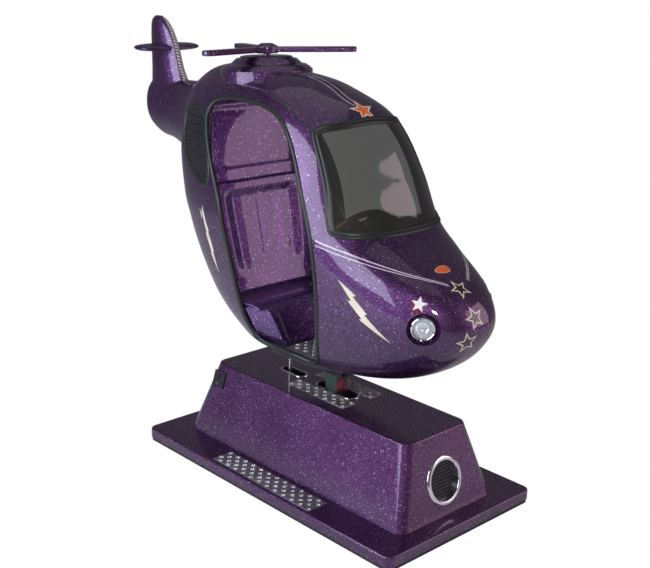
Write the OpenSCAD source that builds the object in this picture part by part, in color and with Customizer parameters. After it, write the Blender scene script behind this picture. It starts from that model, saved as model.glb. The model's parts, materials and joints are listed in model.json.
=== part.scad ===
// Coin-operated kiddie ride: a helicopter cabin that rocks on a tapered pedestal.
// +X is across the machine, the nose points along -Y, +Z is up, and z = 0 is the floor.

/* [Base] */
// Width of the floor plate, across the machine
plate_w = 700; // [580:10:840]
// Length of the floor plate, front to back
plate_l = 1240; // [1150:10:1500]
// Corner radius of the floor plate
plate_r = 28; // [10:1:60]
// Height of the floor plate's top above the floor
plate_h = 48; // [40:1:60]
// Thickness of the black board under the floor plate
board_t = 12; // [8:1:18]
// Wall thickness of the moulded base parts
base_wall = 6; // [4:0.5:8]
// Width of each chequer plate on the floor plate
step_w = 84; // [60:1:90]
// Length of each chequer plate on the floor plate
step_l = 500; // [300:10:600]
// Thickness of the chequer plates
chequer_t = 3; // [2:0.5:4]

/* [Pedestal] */
// Width of the pedestal at its foot
ped_w = 457; // [420:1:500]
// Length of the pedestal at its foot
ped_l = 1082; // [1000:1:1120]
// Width of the pedestal's top
ped_top_w = 298; // [280:1:360]
// Length of the pedestal's top
ped_top_l = 951; // [900:1:1000]
// Height of the pedestal's top above the floor
ped_top = 308; // [290:1:350]
// Distance from the floor plate's centre to the pedestal's centre, towards the nose
ped_shift = 12; // [0:1:30]
// Radius of the pedestal's upright corners
ped_r = 36; // [20:1:50]
// Width of the chequer plates on the pedestal's top
top_mat_w = 62; // [40:1:64]
// Length of the chequer plates on the pedestal's top
top_mat_l = 280; // [200:10:320]

/* [Sound port] */
// Radius of the round hole in the pedestal's front face
port_r = 70; // [50:1:80]
// Height of the port's centre above the floor plate's top, up the slope
port_rise = 111; // [100:1:120]
// Width of the chrome ring round the port
port_ring_w = 12; // [8:1:16]

/* [Coin unit and service door] */
// Side of the square coin plate
coin_plate_s = 60; // [50:1:70]
// Width of the coin slot
coin_slot_w = 3; // [2.5:0.1:3.5]
// Length of the coin slot
coin_slot_l = 30; // [26:1:32]
// Radius of the coin return button
coin_button_r = 6; // [5:0.5:7]
// Travel of the coin return button
coin_button_travel = 4; // [3:0.5:5]
// Width of the service door
service_w = 220; // [180:1:240]
// Height of the service door
service_h = 150; // [120:1:160]
// Thickness of the service door's sheet
service_t = 3; // [2:0.5:4]
// Radius of the service door's hinge pin
hinge_pin_r = 2.5; // [2:0.1:3]

/* [Rocking gear] */
// Distance from the floor plate's centre to the rocker shaft, towards the tail
shaft_y = 85; // [60:1:100]
// Height of the rocker shaft above the floor
shaft_z = 150; // [140:1:160]
// Radius of the rocker shaft
shaft_r = 12.5; // [10:0.5:15]
// Distance from the rocker shaft to the crank roller
drive_reach = 220; // [200:1:230]
// Throw of the crank
crank_throw = 24; // [18:0.5:28]
// Radius of the crank roller
roller_r = 16; // [14:0.5:18]
// Clearance above and below the roller in the drive arm's slot
roller_gap = 1.5; // [1.2:0.1:2]
// Radius of the crank pin
crank_pin_r = 8; // [6:0.5:9]
// Side of the square front post
front_post_s = 25; // [20:1:30]
// Distance from the floor plate's centre to the front post, towards the nose
front_post_at = 45; // [30:1:60]
// Radius of the round rear post
rear_post_r = 8; // [6:0.5:10]
// Distance from the floor plate's centre to the rear post, towards the tail
rear_post_y = 222; // [210:1:230]

/* [Cabin] */
// Height of the cabin's belly above the floor
cabin_z = 452; // [440:1:480]
// Height of the cabin, belly to roof
cabin_h = 943; // [800:1:1140]
// Reach of the nose ahead of the cabin's widest line
nose_reach = 752; // [640:1:900]
// Reach of the cabin's back behind its widest line
back_reach = 580; // [500:1:700]
// Half the cabin's width
cabin_half_w = 285; // [250:1:340]
// Wall thickness of the cabin
cabin_wall = 5; // [4:0.5:7]
// Radius of the rubber trim round the doorways
trim_r = 7; // [5:0.5:9]
// Height of the cabin's floor board above its belly
floor_rise = 32; // [28:1:36]
// Thickness of the seat moulding
seat_t = 8; // [6:0.5:12]

/* [Lamps and controls] */
// Radius of a headlight
lamp_r = 39; // [32:1:42]
// Radius of the recess round a headlight
lamp_recess_r = 52; // [48:1:56]
// Radius of the steering wheel, to the middle of its rim
wheel_r = 90; // [75:1:95]
// Radius of the steering wheel's rim
wheel_rim_r = 10; // [8:0.5:12]
// Radius of a dashboard push button
push_r = 12; // [9:0.5:14]
// Travel of a dashboard push button
push_travel = 4; // [3:0.5:5]

/* [Rotor and tail] */
// Length of a rotor blade, from the mast's axis to its tip
blade_l = 310; // [240:1:372]
// Width of a rotor blade
blade_w = 46; // [36:1:56]
// Thickness of a rotor blade
blade_t = 18; // [12:1:22]
// Radius of the rotor hub
hub_r = 40; // [34:1:48]
// Radius of the rotor mast
mast_r = 12; // [9:0.5:14]
// Lean of the rotor mast towards the tail, in degrees
mast_lean = 3; // [0:0.5:4]
// Half the span of the tail's stabiliser
stabiliser_half = 130; // [110:1:164]
// Height of the tail fin's tip above the roof
fin_rise = 122; // [100:1:148]

/* [Hidden] */
$fn = 48;

purple = [0.24, 0.10, 0.36];
plum = [0.32, 0.11, 0.27];
black = [0.06, 0.06, 0.07];
steel = [0.55, 0.56, 0.58];
chrome = [0.82, 0.83, 0.85];

running_gap = 0.05;
eps = 0.01;

function lerp(a, b, t) = a + (b - a) * t;
function unit(v) = v / norm(v);
function spline(p, q, r, s, u) =
    0.5 * (2 * q + (r - p) * u + (2 * p - 5 * q + 4 * r - s) * u * u + (3 * q - p - 3 * r + s) * u * u * u);

// Pedestal: half sizes at a height, and the slopes of its faces.
ped_y = -ped_shift;
ped_rise = ped_top - plate_h;
function ped_half_w(z) = lerp(ped_w / 2, ped_top_w / 2, (z - plate_h) / ped_rise);
function ped_half_l(z) = lerp(ped_l / 2, ped_top_l / 2, (z - plate_h) / ped_rise);
end_slope = atan((ped_l - ped_top_l) / 2 / ped_rise);
side_slope = atan((ped_w - ped_top_w) / 2 / ped_rise);

// Slots in the pedestal's top: length, width and centre follow the posts that swing in them.
front_slot_l = 180;
front_slot_w = front_post_s + 26;
front_slot_y = -front_post_at + 20;
rear_slot_l = 110;
rear_slot_w = 2 * rear_post_r + 22;
rear_slot_y = rear_post_y - 22;
slot_ring_w = 7;
slot_ring_t = 3;

// Base frame and drive.
frame_s = 30;
frame_z = board_t;
frame_top = frame_z + frame_s - 1;
frame_x = 120;
crank_y = shaft_y + drive_reach - crank_throw;
crank_pin_y = shaft_y + drive_reach;
arm_t = 12;
arm_h = 64;
slot_half_h = roller_r + roller_gap;
slot_half_l = roller_r + crank_throw + 4;
disc_x = 26;
disc_t = 12;
output_r = 12;
gearbox_x = 48;
gearbox_s = 90;
pillow_x = 105;
pillow_t = 30;
beam_w = 50;
beam_h = 40;
post_top = cabin_z - 60;

// Service door, measured up the pedestal's back slope from a centre height.
service_z = plate_h + 115;
service_edge = 10;
hinge_r = 5;
hinge_x = service_w / 2 + hinge_r + 1;
hinge_z = hinge_r + 0.4;
lock_x = service_w / 2 - 22;

coin_y = 424;
coin_z = 252;
coin_button_x = -16;

// Cabin sections at their drawn size, lowest first:
// [height, y at the nose, y at the back, half width, squareness ahead, squareness behind].
drawn_z = 452;
drawn_h = 943;
drawn_mid = 120;
drawn_nose = 752;
drawn_back = 580;
drawn_half_w = 285;
cabin_rows = [
    [452, -200, 190, 150, 2.5, 3],
    [475, -375, 290, 195, 2.5, 3],
    [530, -505, 370, 225, 2.5, 3],
    [610, -595, 460, 250, 2.5, 3],
    [700, -632, 530, 265, 2.5, 3],
    [790, -580, 585, 275, 2.5, 3],
    [870, -435, 620, 283, 2.8, 3],
    [940, -320, 650, 285, 3.2, 3],
    [1080, -235, 685, 275, 3.2, 3],
    [1200, -170, 700, 245, 3, 3],
    [1285, -100, 685, 205, 2.7, 3],
    [1350, 20, 630, 150, 2.4, 2.6],
    [1380, 120, 560, 95, 2.2, 2.3],
    [1395, 250, 460, 40, 2, 2]
];
last_row = len(cabin_rows) - 1;

// Place of a drawn point on a cabin of the chosen size.
function cy(y) = drawn_mid + (y - drawn_mid) * (y < drawn_mid ? nose_reach / drawn_nose : back_reach / drawn_back);
function cz(z) = cabin_z + (z - drawn_z) * cabin_h / drawn_h;
function cx(x) = x * cabin_half_w / drawn_half_w;

function row(i) = cabin_rows[max(0, min(last_row, i))];
function drawn_row(t) = let (i = min(floor(t), last_row - 1)) spline(row(i - 1), row(i), row(i + 1), row(i + 2), t - i);
// Section at t, moved inwards by inset: [z, nose y, back y, half width, squareness ahead, squareness behind].
function section(t, inset) = let (r = drawn_row(t)) [
    lerp(cabin_z + inset, cabin_z + cabin_h - inset, (r[0] - drawn_z) / drawn_h),
    cy(r[1]) + inset, cy(r[2]) - inset, cx(r[3]) - inset, r[4], r[5]
];
function middle(s) = let (m = 0.3 * (s[2] - s[1])) min(max(drawn_mid, s[1] + m), s[2] - m);
function section_t(z, inset, lo = 0, hi = last_row, n = 14) =
    n == 0 ? (lo + hi) / 2
           : let (m = (lo + hi) / 2) section(m, inset)[0] < z ? section_t(z, inset, m, hi, n - 1)
                                                              : section_t(z, inset, lo, m, n - 1);
function round_out(u, n) = pow(max(0, 1 - pow(min(abs(u), 1), n)), 1 / n);
// Half width of the cabin at a place on its side, and the y of its front at a place on its nose.
function side_x(y, z, inset) =
    let (s = section(section_t(z, inset), inset), m = middle(s))
    s[3] * (y < m ? round_out((m - y) / (m - s[1]), s[4]) : round_out((y - m) / (s[2] - m), s[5]));
function front_y(x, z, inset) =
    let (s = section(section_t(z, inset), inset), m = middle(s))
    m - (m - s[1]) * round_out(x / s[3], s[4]);

ring_n = 40;
level_step = 0.5;
function ring_points(s, n = ring_n) = let (m = middle(s)) [
    for (k = [0:n - 1])
        let (a = 360 * k / n, c = cos(a), d = sin(a), q = d < 0 ? s[4] : s[5])
        [s[3] * sign(c) * pow(abs(c), 2 / q), m + (d < 0 ? m - s[1] : s[2] - m) * sign(d) * pow(abs(d), 2 / q), s[0]]
];

// Solid through a list of rings, each a closed list of the same number of points, seen anticlockwise from its end.
module loft(rings) {
    n = len(rings[0]);
    last = len(rings) - 1;
    polyhedron(
        points = [for (r = rings) each r],
        faces = concat(
            [[for (k = [0:n - 1]) k]],
            [[for (k = [n - 1:-1:0]) last * n + k]],
            [for (i = [0:last - 1], k = [0:n - 1])
                each [[i * n + k, (i + 1) * n + k, i * n + (k + 1) % n],
                      [i * n + (k + 1) % n, (i + 1) * n + k, (i + 1) * n + (k + 1) % n]]]
        )
    );
}

// Closed tube with a many-sided section, round a closed path of [point, sideways, outwards] frames.
module band(frames, outline) {
    n = len(outline);
    last = len(frames);
    polyhedron(
        points = [for (f = frames, p = outline) f[0] + p[0] * f[1] + p[1] * f[2]],
        faces = [for (i = [0:last - 1], k = [0:n - 1])
            each [[i * n + k, i * n + (k + 1) % n, ((i + 1) % last) * n + k],
                  [i * n + (k + 1) % n, ((i + 1) % last) * n + (k + 1) % n, ((i + 1) % last) * n + k]]]
    );
}

// Outline through corner points, smoothed into an even closed curve.
function smooth_loop(p, step = 0.5) = let (n = len(p)) [
    for (i = [0:n - 1], u = [0:step:1 - eps]) spline(p[(i + n - 1) % n], p[i], p[(i + 1) % n], p[(i + 2) % n], u)
];
function centre_of(p) = [for (v = p) 1] * p / len(p);
function shrunk(p, d) = let (n = len(p)) [
    for (i = [0:n - 1])
        let (t = unit(p[(i + 1) % n] - p[(i + n - 1) % n]))
        p[i] + d * [-t[1], t[0]]
];

// Places on the cabin's skin: side is -1 or 1 for a side, and 0 for the front.
function lift(p, side, inset) =
    side == 0 ? [p[0], front_y(p[0], p[1], inset), p[1]] : [side * side_x(p[0], p[1], inset), p[0], p[1]];
function skin_frames(loop, side, inset) = let (n = len(loop), inner = shrunk(loop, 4)) [
    for (i = [0:n - 1])
        let (
            p = lift(loop[i], side, inset),
            t = unit(lift(loop[(i + 1) % n], side, inset) - lift(loop[(i + n - 1) % n], side, inset)),
            s = unit(lift(inner[i], side, inset) - p),
            raw = unit(cross(t, s)),
            out = side == 0 ? (raw[1] < 0 ? raw : -raw) : (raw[0] * side > 0 ? raw : -raw)
        )
        [p, s, out]
];
module skin_band(loop, side, inset, outline) {
    flip = side > 0;
    band(skin_frames(loop, side, inset), flip ? [for (k = [len(outline) - 1:-1:0]) outline[k]] : outline);
}

// Sheet that follows the cabin's skin inside an outline, from one depth to another.
module skin_sheet(loop, side, depth_out, depth_in, turns = 4) {
    n = len(loop);
    c = centre_of(loop);
    flat = [for (j = [0:turns - 1], p = loop) lerp(p, c, j / turns)];
    outer = [for (p = concat(flat, [c])) lift(p, side, depth_out)];
    inner = [for (p = concat(flat, [c])) lift(p, side, depth_in)];
    m = n * turns;
    b = m + 1;
    function tri(i, j, k, flip) = flip ? [i, k, j] : [i, j, k];
    flip = side > 0;
    polyhedron(
        points = concat(outer, inner),
        faces = concat(
            [for (j = [0:turns - 2], k = [0:n - 1])
                each [tri(j * n + k, (j + 1) * n + k, j * n + (k + 1) % n, flip),
                      tri(j * n + (k + 1) % n, (j + 1) * n + k, (j + 1) * n + (k + 1) % n, flip)]],
            [for (k = [0:n - 1]) tri((turns - 1) * n + k, m, (turns - 1) * n + (k + 1) % n, flip)],
            [for (j = [0:turns - 2], k = [0:n - 1])
                each [tri(b + j * n + k, b + j * n + (k + 1) % n, b + (j + 1) * n + k, flip),
                      tri(b + j * n + (k + 1) % n, b + (j + 1) * n + (k + 1) % n, b + (j + 1) * n + k, flip)]],
            [for (k = [0:n - 1]) tri(b + (turns - 1) * n + k, b + (turns - 1) * n + (k + 1) % n, b + m, flip)],
            [for (k = [0:n - 1])
                each [tri(k, (k + 1) % n, b + k, flip), tri((k + 1) % n, b + (k + 1) % n, b + k, flip)]]
        )
    );
}

// Doorway, side vent and windscreen outlines, drawn as [y, z], [y, z] and [x, z].
door_points = [
    [-120, 489], [-168, 640], [-173, 770], [-158, 890], [-120, 1000], [-66, 1122], [-8, 1208], [62, 1264],
    [150, 1289], [250, 1296], [345, 1292], [404, 1276], [425, 1240], [410, 1195], [374, 1130], [331, 1056],
    [292, 970], [251, 828], [215, 664], [194, 560], [160, 498], [100, 482], [0, 482]
];
door_loop = [for (p = smooth_loop(door_points)) [cy(p[0]), cz(p[1])]];
vent_points = [
    [360, 1010], [352, 1050], [368, 1105], [418, 1195], [440, 1228], [490, 1246], [535, 1243], [575, 1222],
    [578, 1170], [545, 1105], [478, 1046], [405, 1006]
];
vent_loop = [for (p = smooth_loop(vent_points)) [cy(p[0]), cz(p[1])]];
screen_points = [
    [-232, 972], [-214, 1090], [-196, 1205], [-176, 1240], [-110, 1253], [0, 1260], [110, 1253], [176, 1240],
    [196, 1205], [214, 1090], [232, 972], [224, 947], [150, 943], [0, 941], [-150, 943], [-224, 947]
];
screen_loop = [for (p = smooth_loop(screen_points)) [cx(p[0]), cz(p[1])]];

// Seat: the line of its face, drawn as [y, z], from the foot of the riser to the head panel.
seat_line = [
    [60, 488], [84, 575], [104, 612], [140, 626], [230, 618], [300, 612], [322, 640], [352, 780], [382, 900],
    [400, 985], [422, 992], [440, 1080], [466, 1180], [486, 1260]
];
floor_z = cabin_z + floor_rise;
// Depths below the cabin's skin that clear the door rubbers and the windscreen's gasket.
gasket_t = 8;
inside_trim = cabin_wall / 2 + trim_r + 0.6;
// The skin leans at the windscreen's foot, so a depth square to it is longer when measured level.
screen_lean = 1.4;
inside_gasket = (cabin_wall / 2 + gasket_t + 1.5) * screen_lean;

// Headlights: centre on the skin, and how far they turn out from straight ahead.
lamp_x = cx(160);
lamp_z = cz(706);
lamp_y = front_y(lamp_x, lamp_z, 0);
lamp_yaw = 48;

// Steering wheel, dashboard and buttons.
dash_top = [cy(-172), cz(938)];
dash_foot = [cy(-150), cz(850)];
dash_y = (dash_top[0] + dash_foot[0]) / 2;
dash_z = (dash_top[1] + dash_foot[1]) / 2;
dash_tilt = atan((dash_foot[0] - dash_top[0]) / (dash_top[1] - dash_foot[1]));
wheel_y = cy(-78);
wheel_z = cz(905);
wheel_tilt = 42;
column_r = 11;
column_l = 130;
spigot_r = 8;
push_spread = 66;

rotor_y = cy(375);
roof_z = cabin_z + cabin_h;
hub_z = roof_z + 47;
hub_t = 26;
fairing_r = 150;
fairing_top_r = 105;
fairing_t = 26;

// Tail: boom sections [y, bottom, top, half width] and fin sections [z, front, back, half thickness].
boom_rows = [
    [540, 930, 1325, 165], [660, 985, 1308, 118], [780, 1030, 1293, 80], [880, 1062, 1290, 60],
    [960, 1072, 1294, 52], [1020, 1098, 1282, 46], [1050, 1130, 1252, 34], [1064, 1165, 1215, 14]
];
fin_rows = [
    [1190, 770, 1046, 44], [1262, 818, 1046, 40], [1325, 860, 1045, 35], [1400, 888, 1048, 31],
    [1460, 920, 1050, 26], [1498, 955, 1046, 19], [1516, 988, 1026, 8]
];
fin_foot = 1262;
function fin_z(z) = z <= drawn_z + drawn_h
    ? cz(z) : roof_z + (z - drawn_z - drawn_h) * fin_rise / 122;
function ellipse(a, b, q, n) = [
    for (k = [0:n - 1]) let (t = 360 * k / n) [a * sign(cos(t)) * pow(abs(cos(t)), 2 / q),
                                               b * sign(sin(t)) * pow(abs(sin(t)), 2 / q)]
];
function spread(rows, step) = [
    for (t = [0:step:len(rows) - 1])
        let (i = min(floor(t), len(rows) - 2), n = len(rows) - 1)
        spline(rows[max(i - 1, 0)], rows[i], rows[i + 1], rows[min(i + 2, n)], t - i)
];

// ---- Shared shapes ----

module round_rect(w, l, r) {
    square([w - 2 * r, l], center = true);
    square([w, l - 2 * r], center = true);
    for (x = [-1, 1], y = [-1, 1])
        translate([x * (w / 2 - r), y * (l / 2 - r)])
            circle(r);
}

module stadium(l, w) {
    square([w, l - w], center = true);
    for (y = [-1, 1])
        translate([0, y * (l - w) / 2])
            circle(w / 2);
}

module slab(w, l, h, r) linear_extrude(h) round_rect(w, l, r);

// Tapered block between two heights, inset from the pedestal's outside.
module ped_block(z0, z1, inset) {
    hull()
        for (z = [z0, z1 - eps])
            translate([0, ped_y, z])
                linear_extrude(eps)
                    round_rect(2 * (ped_half_w(z) - inset), 2 * (ped_half_l(z) - inset), ped_r - inset, $fn = 32);
}

// Frames on the pedestal's faces: local z points out of the face.
module on_front(z) translate([0, ped_y - ped_half_l(z), z]) rotate([90 - end_slope, 0, 0]) children();
module on_back(z) translate([0, ped_y + ped_half_l(z), z]) rotate([end_slope - 90, 0, 0]) rotate(180) children();
module on_right(y, z) translate([-ped_half_w(z), y, z]) rotate([0, side_slope - 90, 0]) children();

port_z = plate_h + port_rise * cos(end_slope);

module along_x(x0, x1, r) translate([x0, 0, 0]) rotate([0, 90, 0]) cylinder(h = x1 - x0, r = r);

// Pipe along X, from x0 to x1, in the plane x = 0 turned to a side profile drawn as [y, z].
module side_profile(x0, x1) translate([x0, 0, 0]) rotate([90, 0, 90]) linear_extrude(x1 - x0) children();

module cabin_block(inset) loft([for (t = [0:level_step:last_row]) ring_points(section(t, inset))]);

module both_sides() {
    children();
    mirror([1, 0, 0]) children();
}

module at_lamp() translate([-lamp_x, lamp_y, lamp_z]) rotate([0, 0, -lamp_yaw]) rotate([90, 0, 0]) children();

module at_wheel() translate([0, wheel_y, wheel_z]) rotate([-wheel_tilt, 0, 0]) children();

module at_dash() translate([0, dash_y, dash_z]) rotate([dash_tilt - 90, 0, 0]) children();

module at_rotor() translate([0, rotor_y, hub_z]) rotate([-mast_lean, 0, 0]) children();

// ---- Base ----

module base_board() {
    color(black) slab(plate_w - 6, plate_l - 6, board_t, plate_r - 3);
}

module floor_plate() {
    color(purple)
        difference() {
            translate([0, 0, board_t])
                slab(plate_w, plate_l, plate_h - board_t, plate_r);
            translate([0, 0, board_t - 1])
                slab(plate_w - 2 * base_wall, plate_l - 2 * base_wall, plate_h - board_t - base_wall + 1,
                     plate_r - base_wall);
            translate([0, ped_y, board_t])
                slab(ped_w - 40, ped_l - 40, plate_h, ped_r);
        }
}

module pedestal_shell() {
    color(purple)
        difference() {
            ped_block(plate_h, ped_top, 0);
            ped_block(plate_h - 1, ped_top - base_wall, base_wall);
            translate([0, front_slot_y, ped_top - 2 * base_wall])
                linear_extrude(3 * base_wall) stadium(front_slot_l, front_slot_w);
            translate([0, rear_slot_y, ped_top - 2 * base_wall])
                linear_extrude(3 * base_wall) stadium(rear_slot_l, rear_slot_w);
            on_front(port_z) translate([0, 0, -4 * base_wall]) cylinder(h = 8 * base_wall, r = port_r, $fn = 64);
            on_right(coin_y, coin_z)
                translate([-coin_plate_s / 2 + 6, -coin_plate_s / 2 + 6, -3 * base_wall])
                    cube([coin_plate_s - 12, coin_plate_s - 12, 6 * base_wall]);
            on_back(service_z)
                translate([0, 0, -3 * base_wall])
                    linear_extrude(6 * base_wall)
                        square([service_w - 2 * service_edge, service_h - 2 * service_edge], center = true);
            translate([0, ped_y + ped_half_l(plate_h), plate_h + 26])
                rotate([90, 0, 0])
                    translate([ped_w / 4, 0, -5])
                        cylinder(h = 60, r = 8.05);
        }
}

module step_plates() {
    color(steel)
        both_sides()
            translate([-(ped_w / 2 + (plate_w - ped_w) / 4 + 4), 0, plate_h])
                slab(step_w, step_l, chequer_t, 4);
}

module top_plates() {
    color(steel)
        both_sides()
            translate([-(front_slot_w / 2 + slot_ring_w + 4 + top_mat_w / 2), ped_y, ped_top])
                slab(top_mat_w, top_mat_l, chequer_t, 4);
}

module slot_ring(y, l, w) {
    color(chrome)
        translate([0, y, ped_top])
            linear_extrude(slot_ring_t)
                difference() {
                    stadium(l + 2 * slot_ring_w, w + 2 * slot_ring_w);
                    stadium(l, w);
                }
}

module slot_ring_front() slot_ring(front_slot_y, front_slot_l, front_slot_w);
module slot_ring_rear() slot_ring(rear_slot_y, rear_slot_l, rear_slot_w);

module port_ring() {
    color(chrome)
        on_front(port_z)
            difference() {
                union() {
                    translate([0, 0, 0.1])
                        cylinder(h = 5, r1 = port_r + port_ring_w, r2 = port_r + port_ring_w - 3, $fn = 64);
                    translate([0, 0, -base_wall - 8])
                        cylinder(h = base_wall + 9, r = port_r - 0.3, $fn = 64);
                }
                translate([0, 0, -40]) cylinder(h = 80, r = port_r - 4, $fn = 64);
            }
}

module speaker_grille() {
    color(black)
        on_front(port_z)
            translate([0, 0, -base_wall - 8 - 2])
                difference() {
                    cylinder(h = 2, r = port_r + 2, $fn = 64);
                    for (a = [-5:5], b = [-5:5])
                        if (norm([a, b]) < 5.2)
                            translate([a * 11, b * 11, -1]) cylinder(h = 4, r = 3.6, $fn = 16);
                }
}

module loudspeaker() {
    color(black)
        on_front(port_z)
            translate([0, 0, -base_wall - 11])
                rotate([180, 0, 0])
                    difference() {
                        union() {
                            cylinder(h = 5, r = port_r + 4, $fn = 64);
                            cylinder(h = 34, r1 = port_r - 6, r2 = 32, $fn = 64);
                            translate([0, 0, 34]) cylinder(h = 20, r = 38);
                        }
                        translate([0, 0, -1]) cylinder(h = 30, r1 = port_r - 10, r2 = 18, $fn = 64);
                    }
}

module coin_plate() {
    color(black)
        on_right(coin_y, coin_z)
            difference() {
                translate([-coin_plate_s / 2, -coin_plate_s / 2, 0]) cube([coin_plate_s, coin_plate_s, 5]);
                translate([-2, -coin_slot_w / 2, -1]) cube([coin_slot_l - 4, coin_slot_w, 8]);
                translate([coin_button_x, 0, -1]) cylinder(h = 8, r = coin_button_r + 0.3);
            }
}

module coin_mechanism() {
    color(steel)
        on_right(coin_y, coin_z)
            difference() {
                translate([-coin_plate_s / 2 + 8, -20, -68]) cube([coin_plate_s - 16, 40, 68 - base_wall - 0.5]);
                translate([-2, -coin_slot_w / 2, -60]) cube([coin_slot_l - 4, coin_slot_w, 70]);
                translate([coin_button_x, 0, -30]) cylinder(h = 40, r = coin_button_r + 0.3);
            }
}

module coin_return_button() {
    color(chrome)
        on_right(coin_y, coin_z)
            translate([coin_button_x, 0, -18])
                cylinder(h = 18 + 5 + coin_button_travel + 1, r = coin_button_r);
}

module cash_box() {
    color(steel)
        translate([-175, coin_y - 38, frame_top + 14])
            difference() {
                cube([82, 76, 118]);
                translate([2, 2, 2]) cube([78, 72, 98]);
                translate([16, 18, 90]) cube([50, 40, 40]);
            }
}

module base_frame() {
    color(black) {
        for (s = [-1, 1])
            translate([s * frame_x - frame_s / 2, -400, frame_z]) cube([frame_s, 870, frame_s - 1]);
        for (y = [-385, shaft_y, crank_y + 170])
            translate([-frame_x + frame_s / 2, y - frame_s / 2, frame_z]) cube([2 * frame_x - frame_s, frame_s, frame_s - 1]);
        for (s = [-1, 1])
            translate([s * pillow_x - pillow_t / 2, shaft_y - 40, frame_top])
                cube([pillow_t, 80, shaft_z - 30 - frame_top]);
        translate([gearbox_x, crank_y - gearbox_s / 2, frame_top]) cube([gearbox_s, gearbox_s, shaft_z - 45 - frame_top]);
        translate([-175, coin_y - 38, frame_top]) cube([82, 76, 14]);
    }
}

module pillow_blocks() {
    color(steel)
        for (s = [-1, 1])
            translate([s * pillow_x, shaft_y, shaft_z])
                difference() {
                    union() {
                        along_x(-pillow_t / 2, pillow_t / 2, shaft_r + 14);
                        translate([-pillow_t / 2, -38, -30]) cube([pillow_t, 76, 14]);
                        translate([-pillow_t / 2, -20, -30]) cube([pillow_t, 40, 20]);
                    }
                    along_x(-pillow_t, pillow_t, shaft_r + running_gap);
                    for (y = [-30, 30])
                        translate([0, y, -40]) cylinder(h = 60, r = 4.2);
                }
}

module gear_motor() {
    color(steel)
        translate([0, crank_y, shaft_z]) {
            difference() {
                translate([gearbox_x, -gearbox_s / 2, -gearbox_s / 2]) cube(gearbox_s);
                along_x(gearbox_x - 1, gearbox_x + 21, output_r + running_gap);
            }
            translate([gearbox_x + gearbox_s / 2, gearbox_s / 2, 0])
                rotate([-90, 0, 0]) {
                    cylinder(h = 110, r = 42);
                    translate([0, 0, 110]) cylinder(h = 18, r = 38);
                }
        }
}

module control_box() {
    color([0.75, 0.76, 0.78])
        translate([-130, -370, frame_top + 0.5])
            difference() {
                cube([130, 180, 80]);
                translate([3, 3, 3]) cube([124, 174, 74]);
            }
}

module transformer() {
    color([0.5, 0.35, 0.15])
        translate([30, -340, frame_top + 0.5]) {
            cube([70, 80, 60]);
            translate([-6, 18, 8]) cube([82, 44, 44]);
        }
}

module cable_gland() {
    color(black)
        translate([ped_w / 4, ped_y + ped_half_l(plate_h + 26), plate_h + 26])
            rotate([-90, 0, 0])
                difference() {
                    union() {
                        translate([0, 0, 3.3]) cylinder(h = 7, r = 12);
                        translate([0, 0, 10.3]) cylinder(h = 14, r1 = 9, r2 = 6);
                        translate([0, 0, -18]) cylinder(h = 22, r = 8);
                    }
                    translate([0, 0, -20]) cylinder(h = 50, r = 4);
                }
}

// ---- Service door ----

knuckle_l = 28;
module knuckles(from, count, bore) {
    for (i = [0:count - 1])
        translate([-hinge_x, from + i * 2 * knuckle_l, hinge_z])
            rotate([-90, 0, 0])
                difference() {
                    cylinder(h = knuckle_l - 0.6, r = hinge_r);
                    translate([0, 0, -1]) cylinder(h = knuckle_l + 2, r = bore);
                }
}

module service_hinge() {
    color(steel)
        on_back(service_z) {
            knuckles(-2.5 * knuckle_l, 3, hinge_pin_r);
            difference() {
                translate([-hinge_x - 26, -2.5 * knuckle_l, 0]) cube([20, 5 * knuckle_l, 2]);
                for (y = [-50, 0, 50])
                    translate([-hinge_x - 17, y, -1]) cylinder(h = 5, r = 2.2);
            }
            for (i = [0:2])
                translate([-hinge_x - 6, -2.5 * knuckle_l + i * 2 * knuckle_l, 0.5]) cube([4, knuckle_l - 0.6, 1.5]);
        }
}

module service_hinge_pin() {
    color(chrome)
        on_back(service_z)
            translate([-hinge_x, -2.5 * knuckle_l - 2, hinge_z])
                rotate([-90, 0, 0]) {
                    cylinder(h = 5 * knuckle_l + 3, r = hinge_pin_r);
                    translate([0, 0, -1.5]) cylinder(h = 1.5, r = hinge_pin_r + 1.5);
                }
}

module service_door() {
    color(purple)
        on_back(service_z)
            difference() {
                union() {
                    translate([0, 0, 1]) linear_extrude(service_t) round_rect(service_w, service_h, 6);
                    knuckles(-1.5 * knuckle_l, 2, hinge_pin_r + running_gap);
                    for (i = [0:1])
                        translate([-hinge_x + hinge_pin_r + 1, (2 * i - 1.5) * knuckle_l, 1])
                            cube([hinge_r + 4, knuckle_l - 0.6, service_t]);
                }
                translate([lock_x, 0, -1]) cylinder(h = 10, r = 9 + running_gap);
            }
}

module service_lock() {
    color(chrome)
        on_back(service_z)
            translate([lock_x, 0, 0]) {
                difference() {
                    union() {
                        translate([0, 0, -13]) cylinder(h = 18, r = 9);
                        translate([0, 0, 1 + service_t + 0.3]) cylinder(h = 3, r = 12);
                    }
                    translate([-1, -4, 5]) cube([2, 8, 4]);
                }
                translate([-7, -7, -16]) cube([14, 40, 2.5]);
                translate([0, 0, -14]) cylinder(h = 2, r = 6);
            }
}

// ---- Crank ----

module crank_disc() {
    color(steel)
        translate([0, crank_y, shaft_z])
            difference() {
                union() {
                    along_x(disc_x, disc_x + disc_t, crank_throw + 20);
                    along_x(disc_x, gearbox_x + 20, output_r);
                }
                translate([0, crank_throw, 0]) along_x(disc_x - 1, disc_x + disc_t + 1, crank_pin_r);
            }
}

module crank_pin() {
    color(chrome)
        translate([0, crank_pin_y, shaft_z]) {
            along_x(-14, disc_x + disc_t, crank_pin_r);
            along_x(12, disc_x, crank_pin_r + 4);
            along_x(-17, -14, crank_pin_r + 4);
        }
}

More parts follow.
